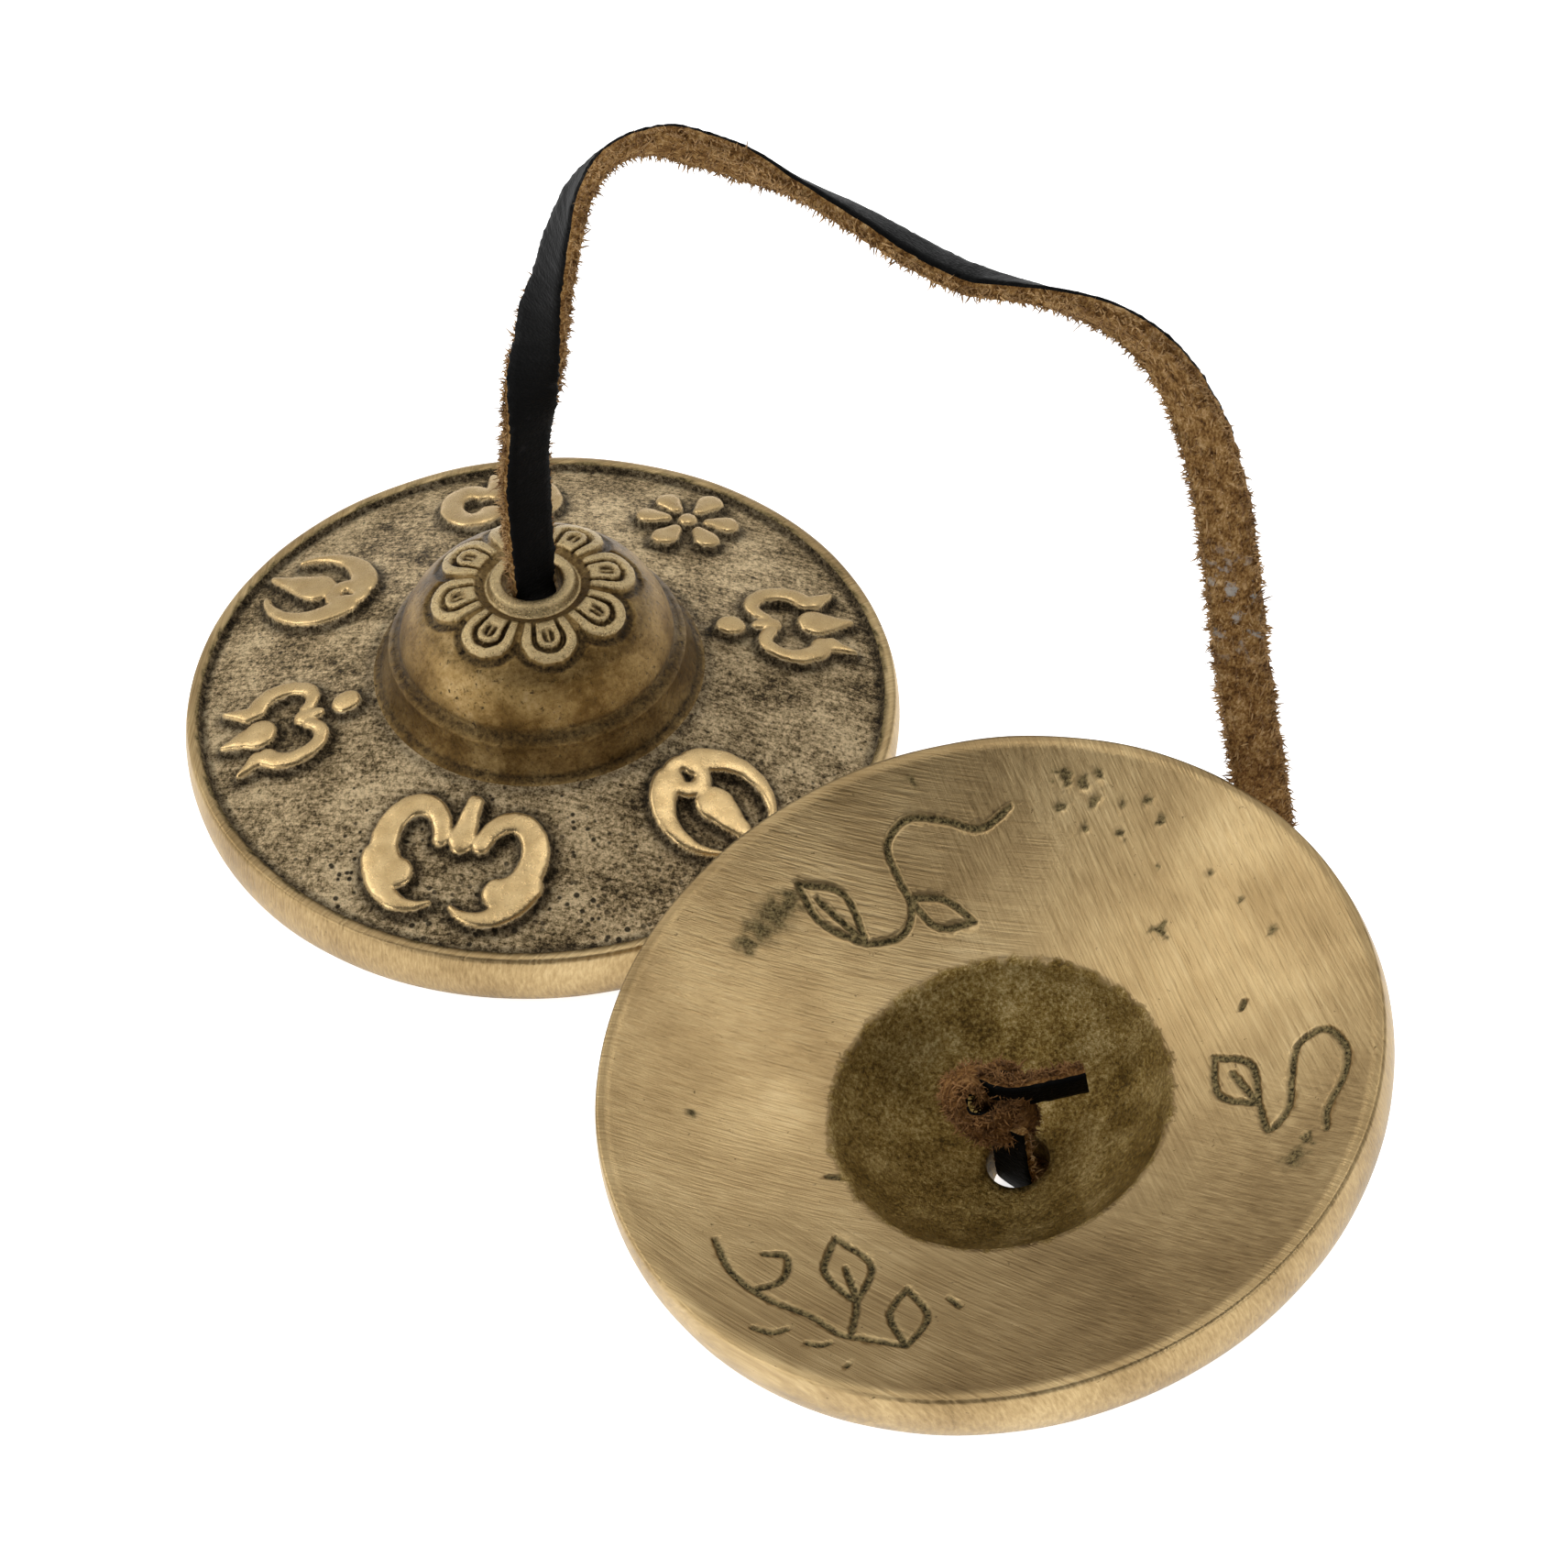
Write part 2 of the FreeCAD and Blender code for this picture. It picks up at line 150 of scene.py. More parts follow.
# ---- the thong ----
THONG_W = 4.5
THONG_T = 1.6
RING_STEP = 0.3      # between the rings of the strap
ROUTE_STEPS = 24     # steps of the smooth line for each point of a route
THONG_ROUTE = [  # from knot A up through its collar, over the arch, down behind B and up into boss B
    (-16.6, 29.6, 10.5), (-16.6, 29.6, 15.0), (-16.6, 29.6, 21.6), (-16.6, 29.6, 33.0), (-15.0, 28.7, 46.0),
    (-12.4, 27.1, 59.0), (-9.6, 25.5, 68.4), (-5.0, 22.9, 73.8), (1.6, 19.2, 74.4), (9.0, 14.9, 72.2),
    (11.8, 13.3, 71.2), (19.0, 9.2, 68.0), (25.5, 5.5, 68.9), (31.6, 2.0, 68.4), (36.0, -0.5, 63.2),
    (38.6, -2.0, 54.0), (40.0, -3.0, 43.5), (41.4, -4.0, 32.0), (43.3, -4.5, 20.5), (44.4, -3.9, 11.8),
    (42.3, -6.2, 4.4), (36.0, -13.1, 1.2), (26.4, -22.5, 1.0), (23.0, -25.8, 0.62), (21.2, -27.6, 0.5),
    (19.8, -28.9, 1.2), (19.4, -29.3, 3.4), (18.9, -29.5, 8.0), (18.5, -29.3, 10.2),
]
# share of the thong's length, and which way its black grain side faces there
GRAIN_FACES = [
    (0.00, (0.50, -0.86, 0.0)), (0.13, (0.50, -0.86, 0.0)), (0.175, (-0.51, -0.86, 0.0)),
    (0.215, (-0.90, -0.42, 0.15)), (0.25, (-0.96, -0.10, 0.28)), (0.275, (-0.76, 0.35, 0.55)),
    (0.30, (-0.09, 0.71, 0.69)), (0.32, (0.43, 0.80, 0.43)), (0.345, (0.50, 0.75, 0.42)),
    (0.365, (0.51, 0.53, 0.67)), (0.39, (0.50, 0.35, 0.79)), (0.41, (0.50, 0.23, 0.84)),
    (0.44, (0.27, 0.33, 0.90)), (0.462, (0.25, 0.56, 0.79)), (0.482, (0.42, 0.68, 0.61)),
    (0.505, (0.62, 0.69, 0.36)), (0.535, (0.64, 0.76, 0.10)), (0.575, (0.42, 0.91, 0.0)),
    (0.66, (0.42, 0.90, 0.0)), (0.76, (0.4, 0.91, 0.0)), (0.84, (0.5, 0.6, -0.6)),
    (0.90, (0.0, 0.0, -1.0)), (0.955, (0.05, 0.05, -1.0)), (0.985, (-0.72, -0.70, 0.0)),
    (1.0, (-0.72, -0.70, 0.0)),
]
WORN_AT = 137.0  # how far along the thong its suede is rubbed pale
PRESSED_FROM, PRESSED_TO = 26, 17  # lengths before its end over which boss B comes to stand on it
PRESSED_SHARE = 0.42  # how much of its thickness is lost there
LEAVES_A = (8.0, 13.0)  # lengths from its start over which it leaves the hole of A
ENTERS_B = (13, 9)  # lengths before its end over which it enters the hole of B
NARROWED_SHARE = 0.10  # how much of its width is lost in the holes
ARCH_FIBRES, END_FIBRES, KNOT_FIBRES = 9000, 250, 2600
EDGE_SHARE = 0.72  # the share of the fibres that stand on the cut edges
EDGE_POINTS = [8, 9, 10, 16, 17]  # points of the strap's outline on its two edges
FLESH_POINTS = (10, 17)  # and from the first of these up to the second on its flesh side
MIDDLE_POINT = 13  # points of the outline before this one are on the right
KNOT_STRAP_W, KNOT_STRAP_T = 3.2, 1.35  # the strap inside a tightened knot

# ---- how the thong bends ----
COLLAR_A_BLEND = (18.4, 21.6)  # heights over which it leans above collar A
CREST_REACH = 8  # it bends over this length each side of the crest
OVER_CREST = Vector((0.868, -0.496, 0.0))  # level direction from the A side of the crest to the B side
FOLD_REACH = 1.6  # it folds over this length each side of the flex axis
INTO_B = Vector((-0.7145, -0.6997, 0.0))  # level direction from the fold to the hole in B
FOLD_MIDDLE = (24.72, -24.2, 0.8)
FOLD_LEAD = 3.0  # the piece with the fold starts this far before its middle


# ======== shape helpers ========
def smooth(value, low, high):
    """0 below low, 1 above high and an S between."""
    share = np.clip((value - low) / (high - low), 0, 1)
    return share * share * (3 - 2 * share)


def ripple(x, y, wavelength, seed, waves=9):
    """Smooth unevenness from -1 to 1 with features of about this wavelength."""
    dice = np.random.default_rng(seed)
    total = np.zeros_like(x)
    for _ in range(waves):
        angle, phase = dice.uniform(0, 2 * math.pi, 2)
        size = 2 * math.pi / (wavelength * dice.uniform(0.65, 1.5))
        total += np.cos(x * size * math.cos(angle) + y * size * math.sin(angle) + phase)
    return total / waves * 1.6


def arc_points(points, steps):
    """Points along a line through two points or an arc through three, without the last."""
    if len(points) == 2:
        share = np.arange(steps)[:, None] / steps
        return np.array(points[0]) * (1 - share) + np.array(points[1]) * share
    a, b, c = (complex(*p) for p in points)
    w = (c - a) / (b - a)
    centre = a - (a - b) * (w - abs(w) ** 2) / (2j * w.imag)
    first, middle, last = (np.angle(p - centre) for p in (a, b, c))
    sweep = (last - first + math.pi) % (2 * math.pi) - math.pi
    half = (middle - first + math.pi) % (2 * math.pi) - math.pi
    if half * sweep < 0:
        sweep -= math.copysign(2 * math.pi, sweep)
    angles = first + sweep * np.arange(steps) / steps
    line = centre + abs(a - centre) * np.exp(1j * angles)
    return np.stack([line.real, line.imag], 1)


def smooth_line(points, step=0.12):
    """Catmull-Rom curve through the points, sampled evenly enough for discs of a stroke."""
    points = np.array(points, float)
    if len(points) == 2:
        count = max(2, int(np.linalg.norm(points[1] - points[0]) / step))
        return points[0] + (points[1] - points[0]) * np.linspace(0, 1, count)[:, None]
    padded = np.vstack([2 * points[0] - points[1], points, 2 * points[-1] - points[-2]])
    out = []
    for p0, p1, p2, p3 in zip(padded, padded[1:], padded[2:], padded[3:]):
        count = max(2, int(np.linalg.norm(p2 - p1) / step))
        t = np.linspace(0, 1, count, endpoint=False)[:, None]
        out.append(0.5 * (2 * p1 + (p2 - p0) * t + (2 * p0 - 5 * p1 + 4 * p2 - p3) * t ** 2
                          + (3 * p1 - p0 - 3 * p2 + p3) * t ** 3))
    return np.vstack(out + [points[-1:]])


def scene_object(name, data):
    made = bpy.data.objects.new(name, data)
    bpy.context.scene.collection.objects.link(made)
    return made


def mesh_object(name, points, faces, materials, smooth_faces=True):
    """A new mesh object from points in millimetres."""
    mesh = bpy.data.meshes.new(name)
    mesh.from_pydata((np.asarray(points) * MM).tolist(), [], faces)
    for material in materials:
        mesh.materials.append(material)
    mesh.polygons.foreach_set("use_smooth", [smooth_faces] * len(mesh.polygons))
    return scene_object(name, mesh)


def set_values(mesh, name, values):
    attribute = mesh.attributes.new(name, "FLOAT", "POINT")
    attribute.data.foreach_set("value", np.asarray(values, np.float32))


# ======== the ornament's strokes ========
def curl(ca, cb, ra, rb, start, end, wide0, wide1, shrink=1.0):
    """Part of an ellipse or spiral: points in a unit box, and the stroke's half width in mm."""
    share = np.linspace(0, 1, 60)
    angle = np.radians(start + (end - start) * share)
    size = 1 + (shrink - 1) * share
    wide = wide0 + (wide1 - wide0) * share
    return np.stack([ca + ra * size * np.cos(angle), cb + rb * size * np.sin(angle), wide], 1)


def bar(a0, b0, a1, b1, wide0, wide1):
    """A straight stroke in the same terms."""
    share = np.linspace(0, 1, 50)[:, None]
    return np.array([[a0, b0, wide0]]) * (1 - share) + np.array([[a1, b1, wide1]]) * share


def both_sides(stroke):
    """The stroke and its mirror image."""
    return [stroke, stroke * np.array([-1, 1, 1])]


# plain floral ornaments, each the same on its left and right
MOTIFS = {
    "bud": [
        bar(0.0, -0.84, 0.0, -0.78, 1.25, 1.25), bar(0.0, -0.42, 0.0, -0.2, 0.7, 0.9),
        bar(0.0, 0.40, 0.0, 0.92, 1.7, 0.4),
        *both_sides(curl(0.50, 0.0, 0.42, 0.40, 222, 430, 0.7, 1.1)),
        *both_sides(bar(0.62, 0.50, 0.86, 0.80, 1.0, 0.35)),
    ],
    "blossom": [
        bar(0.0, 0.0, 0.0, 0.02, 1.0, 1.0), bar(0.0, 0.40, 0.0, 0.76, 0.7, 1.35),
        bar(0.0, -0.40, 0.0, -0.76, 0.7, 1.35),
        *both_sides(bar(0.42, 0.18, 0.74, 0.32, 0.7, 1.3)),
        *both_sides(bar(0.42, -0.18, 0.74, -0.32, 0.7, 1.3)),
    ],
    "cloud": [
        *both_sides(curl(0.50, -0.15, 0.36, 0.58, 130, -140, 1.15, 1.3)),
        bar(0.0, 0.25, 0.0, 0.90, 1.35, 0.6),
    ],
    "flame": [
        bar(0.0, 0.0, 0.0, 0.92, 1.9, 0.4),
        *both_sides(curl(0.08, 0.05, 0.74, 0.80, -75, 52, 1.5, 0.45)),
        curl(0.0, -0.62, 0.24, 0.24, 0, 360, 0.9, 0.9),
    ],
    "wide": [
        *both_sides(curl(0.55, -0.15, 0.32, 0.54, 190, 440, 0.95, 1.6)),
        *both_sides(curl(0.38, 0.05, 0.50, 0.78, 10, 120, 1.65, 0.4)),
        bar(0.0, -0.85, 0.0, -0.25, 0.85, 1.3),
    ],
}


def scroll_strokes():
    """Every disc of the raised strokes: x, y and radius, one array for each scroll."""
    for heading, radius, half_round, half_slope, motif in SCROLLS:
        out = np.array([math.cos(math.radians(heading)), math.sin(math.radians(heading))])
        along = np.array([-out[1], out[0]])
        strokes = np.vstack(MOTIFS[motif])
        plan = out * radius + np.outer(strokes[:, 0] * half_round, along)
        yield np.hstack([plan + np.outer(strokes[:, 1] * half_slope, out), strokes[:, 2:]])


def engraved_strokes():
    """Every disc of the cut strokes, which narrow at their ends."""
    for points in ENGRAVED:
        line = smooth_line(points)
        ends = np.minimum(np.arange(len(line)), np.arange(len(line))[::-1]) / 6
        yield np.hstack([line, (ENGRAVE_R * np.clip(0.75 + 0.25 * ends, 0, 1))[:, None]])


def stroke_distance(x, y, strokes, far=3.0):
    """Distance in the plan from each point to the nearest stroke's edge, negative inside."""
    distance = np.full(len(x), far)
    for discs in strokes:
        low, high = discs[:, :2].min(0) - far, discs[:, :2].max(0) + far
        near = np.flatnonzero((x > low[0]) & (x < high[0]) & (y > low[1]) & (y < high[1]))
        for chunk in np.array_split(near, max(1, len(near) // 4000)):
            gap = np.hypot(x[chunk, None] - discs[:, 0], y[chunk, None] - discs[:, 1]) - discs[:, 2]
            distance[chunk] = np.minimum(distance[chunk], gap.min(1))
    return distance


RAISED = list(scroll_strokes())
CUT = list(engraved_strokes())


# ======== one casting ========
def section_rows():
    """Every row of the half section: radius, height, outward normal, zone and columns."""
    rows = []
    for zone, columns, steps, points in SECTION:
        rows += [(r, h, zone, columns) for r, h in arc_points(points, steps)]
    place = np.array([row[:2] for row in rows])
    ahead = np.roll(place, -1, 0) - place
    ahead /= np.linalg.norm(ahead, axis=1)[:, None]
    along = ahead + np.roll(ahead, 1, 0)
    along /= np.linalg.norm(along, axis=1)[:, None]
    outward = np.stack([along[:, 1], -along[:, 0]], 1)
    return place, outward, [row[2] for row in rows], [row[3] for row in rows]


def stitch(a, na, b, nb):
    """Faces between a ring of na points from index a and one of nb points from index b."""
    faces = []
    if na == nb:
        for j in range(na):
            k = (j + 1) % na
            faces.append((a + j, a + k, b + k, b + j))
        return faces
    if na > nb:
        return [face[::-1] for face in stitch(b, nb, a, na)]
    for j in range(na):
        k = (j + 1) % na
        left, middle, right = b + 2 * j, b + 2 * j + 1, b + (2 * j + 2) % nb
        faces += [(a + j, middle, left), (a + j, a + k, middle), (a + k, right, middle)]
    return faces


def bare_casting():
    """The turned shape before any ornament, as a bmesh with each point's outward direction and zone."""
    place, outward, zones, columns = section_rows()
    starts = np.concatenate([[0], np.cumsum(columns)])
    points, faces, notes = [], [], []
    for row, count in enumerate(columns):
        turn = np.arange(count) * 2 * math.pi / count
        r, h = place[row]
        points.append(np.stack([r * np.cos(turn), r * np.sin(turn), np.full(count, h)], 1))
        notes += [(outward[row][0], outward[row][1], zones[row])] * count
        after = (row + 1) % len(columns)
        faces += stitch(int(starts[row]), count, int(starts[after]), columns[after])
    mesh = bpy.data.meshes.new("casting")
    mesh.from_pydata(np.vstack(points).tolist(), [], faces)
    for index, name in enumerate(("out_r", "out_h", "zone")):
        set_values(mesh, name, [note[index] for note in notes])
    shape = bmesh.new()
    shape.from_mesh(mesh)
    bpy.data.meshes.remove(mesh)
    return shape


def point_arrays(shape):
    place = np.array([v.co[:] for v in shape.verts])
    layers = [shape.verts.layers.float[name] for name in ("out_r", "out_h", "zone")]
    notes = np.array([[v[layer] for layer in layers] for v in shape.verts])
    return place, notes


def refine(shape, wanted):
    """Halves every edge whose two ends are both wanted."""
    shape.verts.index_update()
    edges = [e for e in shape.edges if wanted[e.verts[0].index] and wanted[e.verts[1].index]]
    bmesh.ops.subdivide_edges(shape, edges=edges, cuts=1, use_grid_fill=True)


def finer_where_cut(shape):
    """More points where the ornament's edges, the engraving and the petals run."""
    place, notes = point_arrays(shape)
    zone = np.round(notes[:, 2])
    radius = np.hypot(place[:, 0], place[:, 1])
    raised = np.abs(stroke_distance(place[:, 0], place[:, 1], RAISED) + 0.05) < 0.62
    cut = stroke_distance(place[:, 0], place[:, 1], CUT) < 0.55
    for sx, sy, size in SMUDGES:
        cut |= np.hypot(place[:, 0] - sx, place[:, 1] - sy) < min(size * 1.6, 1.4)
    petals = (zone >= DOME) & (zone <= NECK) & (radius < 10.2)
    refine(shape, ((zone == FLANGE) & raised) | ((zone == DISH) & cut) | petals)
    place, notes = point_arrays(shape)
    zone = np.round(notes[:, 2])
    cut = stroke_distance(place[:, 0], place[:, 1], CUT) < 0.28
    refine(shape, (zone == DISH) & cut)


def petal_relief(x, y):
    """Height and shading of the lotus petals round the collar: each a band with a raised drop inside."""
    radius = np.hypot(x, y)
    spacing = 2 * math.pi / PETAL_COUNT
    bend = (np.arctan2(y, x) - PETAL_TURN + spacing / 2) % spacing - spacing / 2
    reach = np.hypot(bend / (0.44 * spacing), np.maximum(radius - 6.9, 0) / 2.3)
    gap = (reach - 1) * 2.5 + 0.05 * ripple(x, y, 1.3, 17)
    band = smooth(-gap, -0.10, 0.12) * (1 - smooth(-gap, 0.85, 1.05))
    drop = smooth(-gap, 1.25, 1.45) * (1 - 0.75 * smooth(-gap, 1.85, 2.1) * smooth(radius, 6.0, 6.4))
    between = (bend + spacing / 2) % spacing - spacing / 2
    spear = smooth(0.30 * np.clip((8.9 - radius) / 3.0, 0, 1) - np.abs(between * radius), -0.1, 0.15)
    outside = smooth(gap, 0.10, 0.25) * (1 - smooth(gap, 0.5, 0.9)) * (radius > 7.2)
    here = smooth(radius, 5.0, 5.3) * (1 - smooth(radius, 10.3, 10.8))
    high = np.clip(np.maximum(band, np.maximum(drop, spear * (radius > 5.6) * 0.7)), 0, 1)
    inside = (gap < 0) * (1 - high)
    height = (PETAL_H * high - 0.22 * inside - 0.20 * outside) * here
    grime = np.clip(inside + outside + (1 - high) * 0.35, 0, 1) * here
    return height, high * here, grime


def flange_relief(x, y, zone):
    """The raised ornaments on their pitted ground: lift along the normal, polish and grime."""
    radius = np.hypot(x, y)
    gap = stroke_distance(x, y, RAISED)
    edge = gap + 0.06 * ripple(x, y, 1.6, 5)
    top = smooth(-edge, -0.30, 0.34)
    lift = RELIEF_H * top * (1 + 0.05 * ripple(x, y, 3.0, 6)) + 0.07 * smooth(-gap, 0.3, 0.9)
    away = smooth(30.9 - radius, 0, 0.6) * smooth(radius, 15.0, 15.6)
    lift += away * (1 - top) * (0.055 * ripple(x, y, 5.5, 1) + 0.035 * ripple(x, y, 1.7, 2))
    polish = smooth(-edge, 0.02, 0.26)
    grime = np.exp(-(np.maximum(gap - 0.12, 0) / 0.55) ** 2) * (1 - smooth(-gap, -0.05, 0.3))
    grime += (1 - top) * (smooth(radius, 30.2, 30.9) + 0.7 * (1 - smooth(radius, 15.0, 16.4)))
    return np.stack([lift, polish, grime]) * (zone == FLANGE)


def edge_relief(x, y, zone):
    """The groove, the lip that is rubbed bright outside a ragged line, and the side wall."""
    lift = ((zone == LIP) | (zone == SIDE)) * 0.03 * ripple(x, y, 9.0, 3)
    polish = ((zone == LIP) | (zone == RIM) | (zone == COLLAR)) * 0.85
    ragged = LIP_POLISH_R + 0.16 * ripple(x, y, 1.6, 18) + 0.10 * ripple(x, y, 5.0, 19)
    grime = (zone == GROOVE) * 0.9 + (zone == LIP) * smooth(ragged - np.hypot(x, y), -0.08, 0.16)
    return np.stack([lift, polish, grime])


def boss_relief(x, y, h, zone):
    """The base ring with grime in its corners, the dome with its petals, and the cast cavity inside."""
    radius = np.hypot(x, y)
    dome = (zone == DOME) | (zone == NECK)
    height, high, dark = petal_relief(x, y)
    lift = dome * height
    lift += dome * (radius > 10.4) * 0.03 * ripple(x + h, y - h, 4.0, 4)
    lift += (zone == BASE) * 0.05 * ripple(x, y + h, 1.4, 21)
    uneven = 0.07 * ripple(x, y, 2.2, 8) + 0.06 * ripple(x + h, y, 6.0, 9)
    lift += (zone == CAVITY) * (radius > 3.2) * uneven
    foot = 1 - smooth(np.abs(h - 9.3) + 0.1 * ripple(x, y, 2.0, 20), 0.1, 0.4)
    seam = np.maximum(smooth(h, 12.2, 12.6), foot)
    grime = dome * dark + (zone == NECK) * 0.7
    grime += (zone == BASE) * (0.35 + 0.6 * seam) + dome * (1 - smooth(h, 12.9, 13.5)) * 0.8
    return np.stack([lift, dome * high * 0.75, grime])


def relief(x, y, h, zone):
    """Displacement along the surface's normal, and how polished and how grimy each point is."""
    lift, polish, grime = flange_relief(x, y, zone) + edge_relief(x, y, zone) + boss_relief(x, y, h, zone)
    return lift, polish, np.clip(grime, 0, 1)


def dark_spots(x, y):
    """How dark each point is from a stain or a pit, and how deep in a pit it lies, each from 0 to 1."""
    spots = np.zeros(len(x))
    pits = np.zeros(len(x))
    for sx, sy, size in SMUDGES:
        soft = size > SOFT_FROM
        reach = np.hypot(x - sx, y - sy) + (0.45 if soft else 0.8) * size * ripple(x, y, 1.0, 13)
        inner, outer = (0.3, 1.3) if soft else (0.6, 0.9)
        spots = np.maximum(spots, 1 - smooth(reach, size * inner, size * outer))
        pits = np.maximum(pits, (not soft) * (1 - smooth(reach, 0, size * 0.9)))
    return spots, pits


def face_relief(x, y, zone):
    """The cuts and dark spots of the turned inner face, and where the rough hollow starts."""
    dish = zone == DISH
    gap = stroke_distance(x, y, CUT)
    cut = smooth(-(gap + 0.05 * ripple(x, y, 0.9, 12)), -0.10, 0.14)
    spots, pits = dark_spots(x, y)
    edge = CAVITY_EDGE_R + 0.45 * ripple(x, y, 2.5, 15) + 0.25 * ripple(x, y, 0.9, 16)
    rough = (dish | (zone == CAVITY)) * smooth(edge - np.hypot(x, y), -0.8, 0.7)
    rough += zone == HOLE
    depth = -ENGRAVE_DEPTH * cut * (1 + 0.2 * ripple(x, y, 0.8, 14)) - PIT_DEPTH * pits
    return dish * depth, dish * np.maximum(cut, 0.9 * spots), rough


def metal_of_faces(mesh, zone):
    """0 on the flange and in its groove, 1 on the turned faces, the side and the lip, 2 on the boss."""
    corner = np.zeros(len(mesh.polygons), int)
    mesh.polygons.foreach_get("loop_start", corner)
    loops = np.zeros(len(mesh.loops), int)
    mesh.loops.foreach_get("vertex_index", loops)
    face_zone = zone[loops[corner]]
    kinds = np.zeros(len(face_zone), int)
    kinds[face_zone <= LIP] = 1
    kinds[face_zone >= BASE] = 2
    return kinds


def casting_mesh(materials):
    """The finished casting in its own frame: rim plane at 0, boss up."""
    shape = bare_casting()
    finer_where_cut(shape)
    bmesh.ops.triangulate(shape, faces=[f for f in shape.faces if len(f.verts) > 4])
    bmesh.ops.recalc_face_normals(shape, faces=shape.faces)
    place, notes = point_arrays(shape)
    x, y, h = place.T
    zone = np.round(notes[:, 2])
    lift, polish, grime = relief(x, y, h, zone)
    cut, dark, rough = face_relief(x, y, zone)
    lift += cut
    radius = np.maximum(np.hypot(x, y), 1e-6)
    outward = np.stack([notes[:, 0] * x / radius, notes[:, 0] * y / radius, notes[:, 1]], 1)
    place = place + outward * lift[:, None]
    mesh = bpy.data.meshes.new("casting")
    shape.verts.index_update()
    shape.to_mesh(mesh)
    shape.free()
    mesh.vertices.foreach_set("co", (place * MM).ravel())
    for name in ("out_r", "out_h", "zone"):
        mesh.attributes.remove(mesh.attributes[name])
    set_values(mesh, "polish", polish)
    set_values(mesh, "grime", np.maximum(grime, dark))
    set_values(mesh, "rough", rough)
    for material in materials:
        mesh.materials.append(material)
    mesh.polygons.foreach_set("material_index", metal_of_faces(mesh, zone))
    mesh.polygons.foreach_set("use_smooth", [True] * len(mesh.polygons))
    mesh.update()
    return mesh


def own_axes_b():
    """Matrix that takes the casting's own frame to cymbal B's place."""
    out_x = Vector((0, 1, 0)).cross(B_AXIS).normalized()
    out_y = B_AXIS.cross(out_x)
    turn = Matrix((out_x, out_y, B_AXIS)).transposed().to_4x4()
    rim_centre = B_TIP - B_AXIS * BOSS_TOP_H
    return Matrix.Translation(rim_centre * MM) @ turn


# ======== materials ========
def node(tree, kind, inputs=None, **settings):
    """Adds a node; an input that is a socket is linked, and any other value is set on it."""
    made = tree.nodes.new("ShaderNode" + kind)
    for key, value in settings.items():
        setattr(made, key, value)
    for key, value in (inputs or {}).items():
        if isinstance(value, bpy.types.NodeSocket):
            tree.links.new(value, made.inputs[key])
        else:
            made.inputs[key].default_value = value
    return made


def colour(code):
    """Scene-linear colour from a hex code."""
    parts = [int(code[i:i + 2], 16) / 255 for i in (0, 2, 4)]
    return [p / 12.92 if p < 0.04045 else ((p + 0.055) / 1.055) ** 2.4 for p in parts] + [1.0]


def maths(operation, *values):
    """The operation on these values, the first of which is a socket."""
    return node(values[0].id_data, "Math", dict(enumerate(values)), operation=operation).outputs[0]


def plus(a, b):
    return maths("ADD", a, b)


def times(a, b):
    return maths("MULTIPLY", a, b)


def weighted(*terms):
    """The sum of values, each times its weight."""
    total = times(*terms[0])
    for value, weight in terms[1:]:
        total = plus(total, times(value, weight))
    return total


def noise(place, scale, detail=4.0, roughness=0.6):
    inputs = {"Vector": place, "Scale": scale, "Detail": detail, "Roughness": roughness}
    return node(place.id_data, "TexNoise", inputs).outputs[0]


def mixed(factor, a, b):
    """From a to b as the factor goes from 0 to 1; either may be a hex code."""
    a, b = (colour(part) if isinstance(part, str) else part for part in (a, b))
    return node(factor.id_data, "Mix", {0: factor, 6: a, 7: b}, data_type="RGBA").outputs[2]


def ramp(factor, stops):
    """A colour between the stops, each a place from 0 to 1 and a hex code."""
    made = node(factor.id_data, "ValToRGB", {0: factor})
    elements = made.color_ramp.elements
    while len(elements) < len(stops):
        elements.new(0.5)
    for element, (place, code) in zip(elements, stops):
        element.position = place
        element.color = colour(code)
    return made.outputs[0]


def mapped(factor, low, high, out_low=0.0, out_high=1.0):
    """The factor's range from low to high, stretched to the range from out_low to out_high."""
    inputs = {0: factor, 1: low, 2: high, 3: out_low, 4: out_high}
    return node(factor.id_data, "MapRange", inputs, clamp=True).outputs[0]


def stretched(place, scale, turn=0.0):
    """Coordinates turned and then stretched, so that streaks run at the angle of the turn."""
    whole = [1 / part for part in scale]
    inputs = {"Vector": place, "Scale": whole, "Rotation": (0, 0, math.radians(turn))}
    return node(place.id_data, "Mapping", inputs, vector_type="TEXTURE").outputs[0]


def axis_of(place, axis):
    """One coordinate of a place: 0, 1 or 2 for x, y or z."""
    return node(place.id_data, "SeparateXYZ", {0: place}).outputs[axis]


def new_material(name, values):
    """A material, its tree, its shader with these values, and the object's coordinates in mm."""
    material = bpy.data.materials.new(name)
    material.use_nodes = True
    tree = material.node_tree
    own = node(tree, "TexCoord").outputs["Object"]
    place = node(tree, "VectorMath", {0: own, "Scale": 1000.0}, operation="SCALE").outputs[0]
    shader = tree.nodes["Principled BSDF"]
    for key, value in values.items():
        shader.inputs[key].default_value = value
    return material, tree, shader, place


def attribute(tree, name):
    return node(tree, "Attribute", attribute_name=name).outputs["Fac"]


def attach(shader, base, roughness, height, depth, strength=1.0):
    """Colour, roughness and a bump this many mm deep onto the shader."""
    tree = base.id_data
    tree.links.new(base, shader.inputs["Base Color"])
    tree.links.new(roughness, shader.inputs["Roughness"])
    bump = node(tree, "Bump", {"Height": height, "Strength": strength, "Distance": depth * MM})
    tree.links.new(bump.outputs[0], shader.inputs["Normal"])


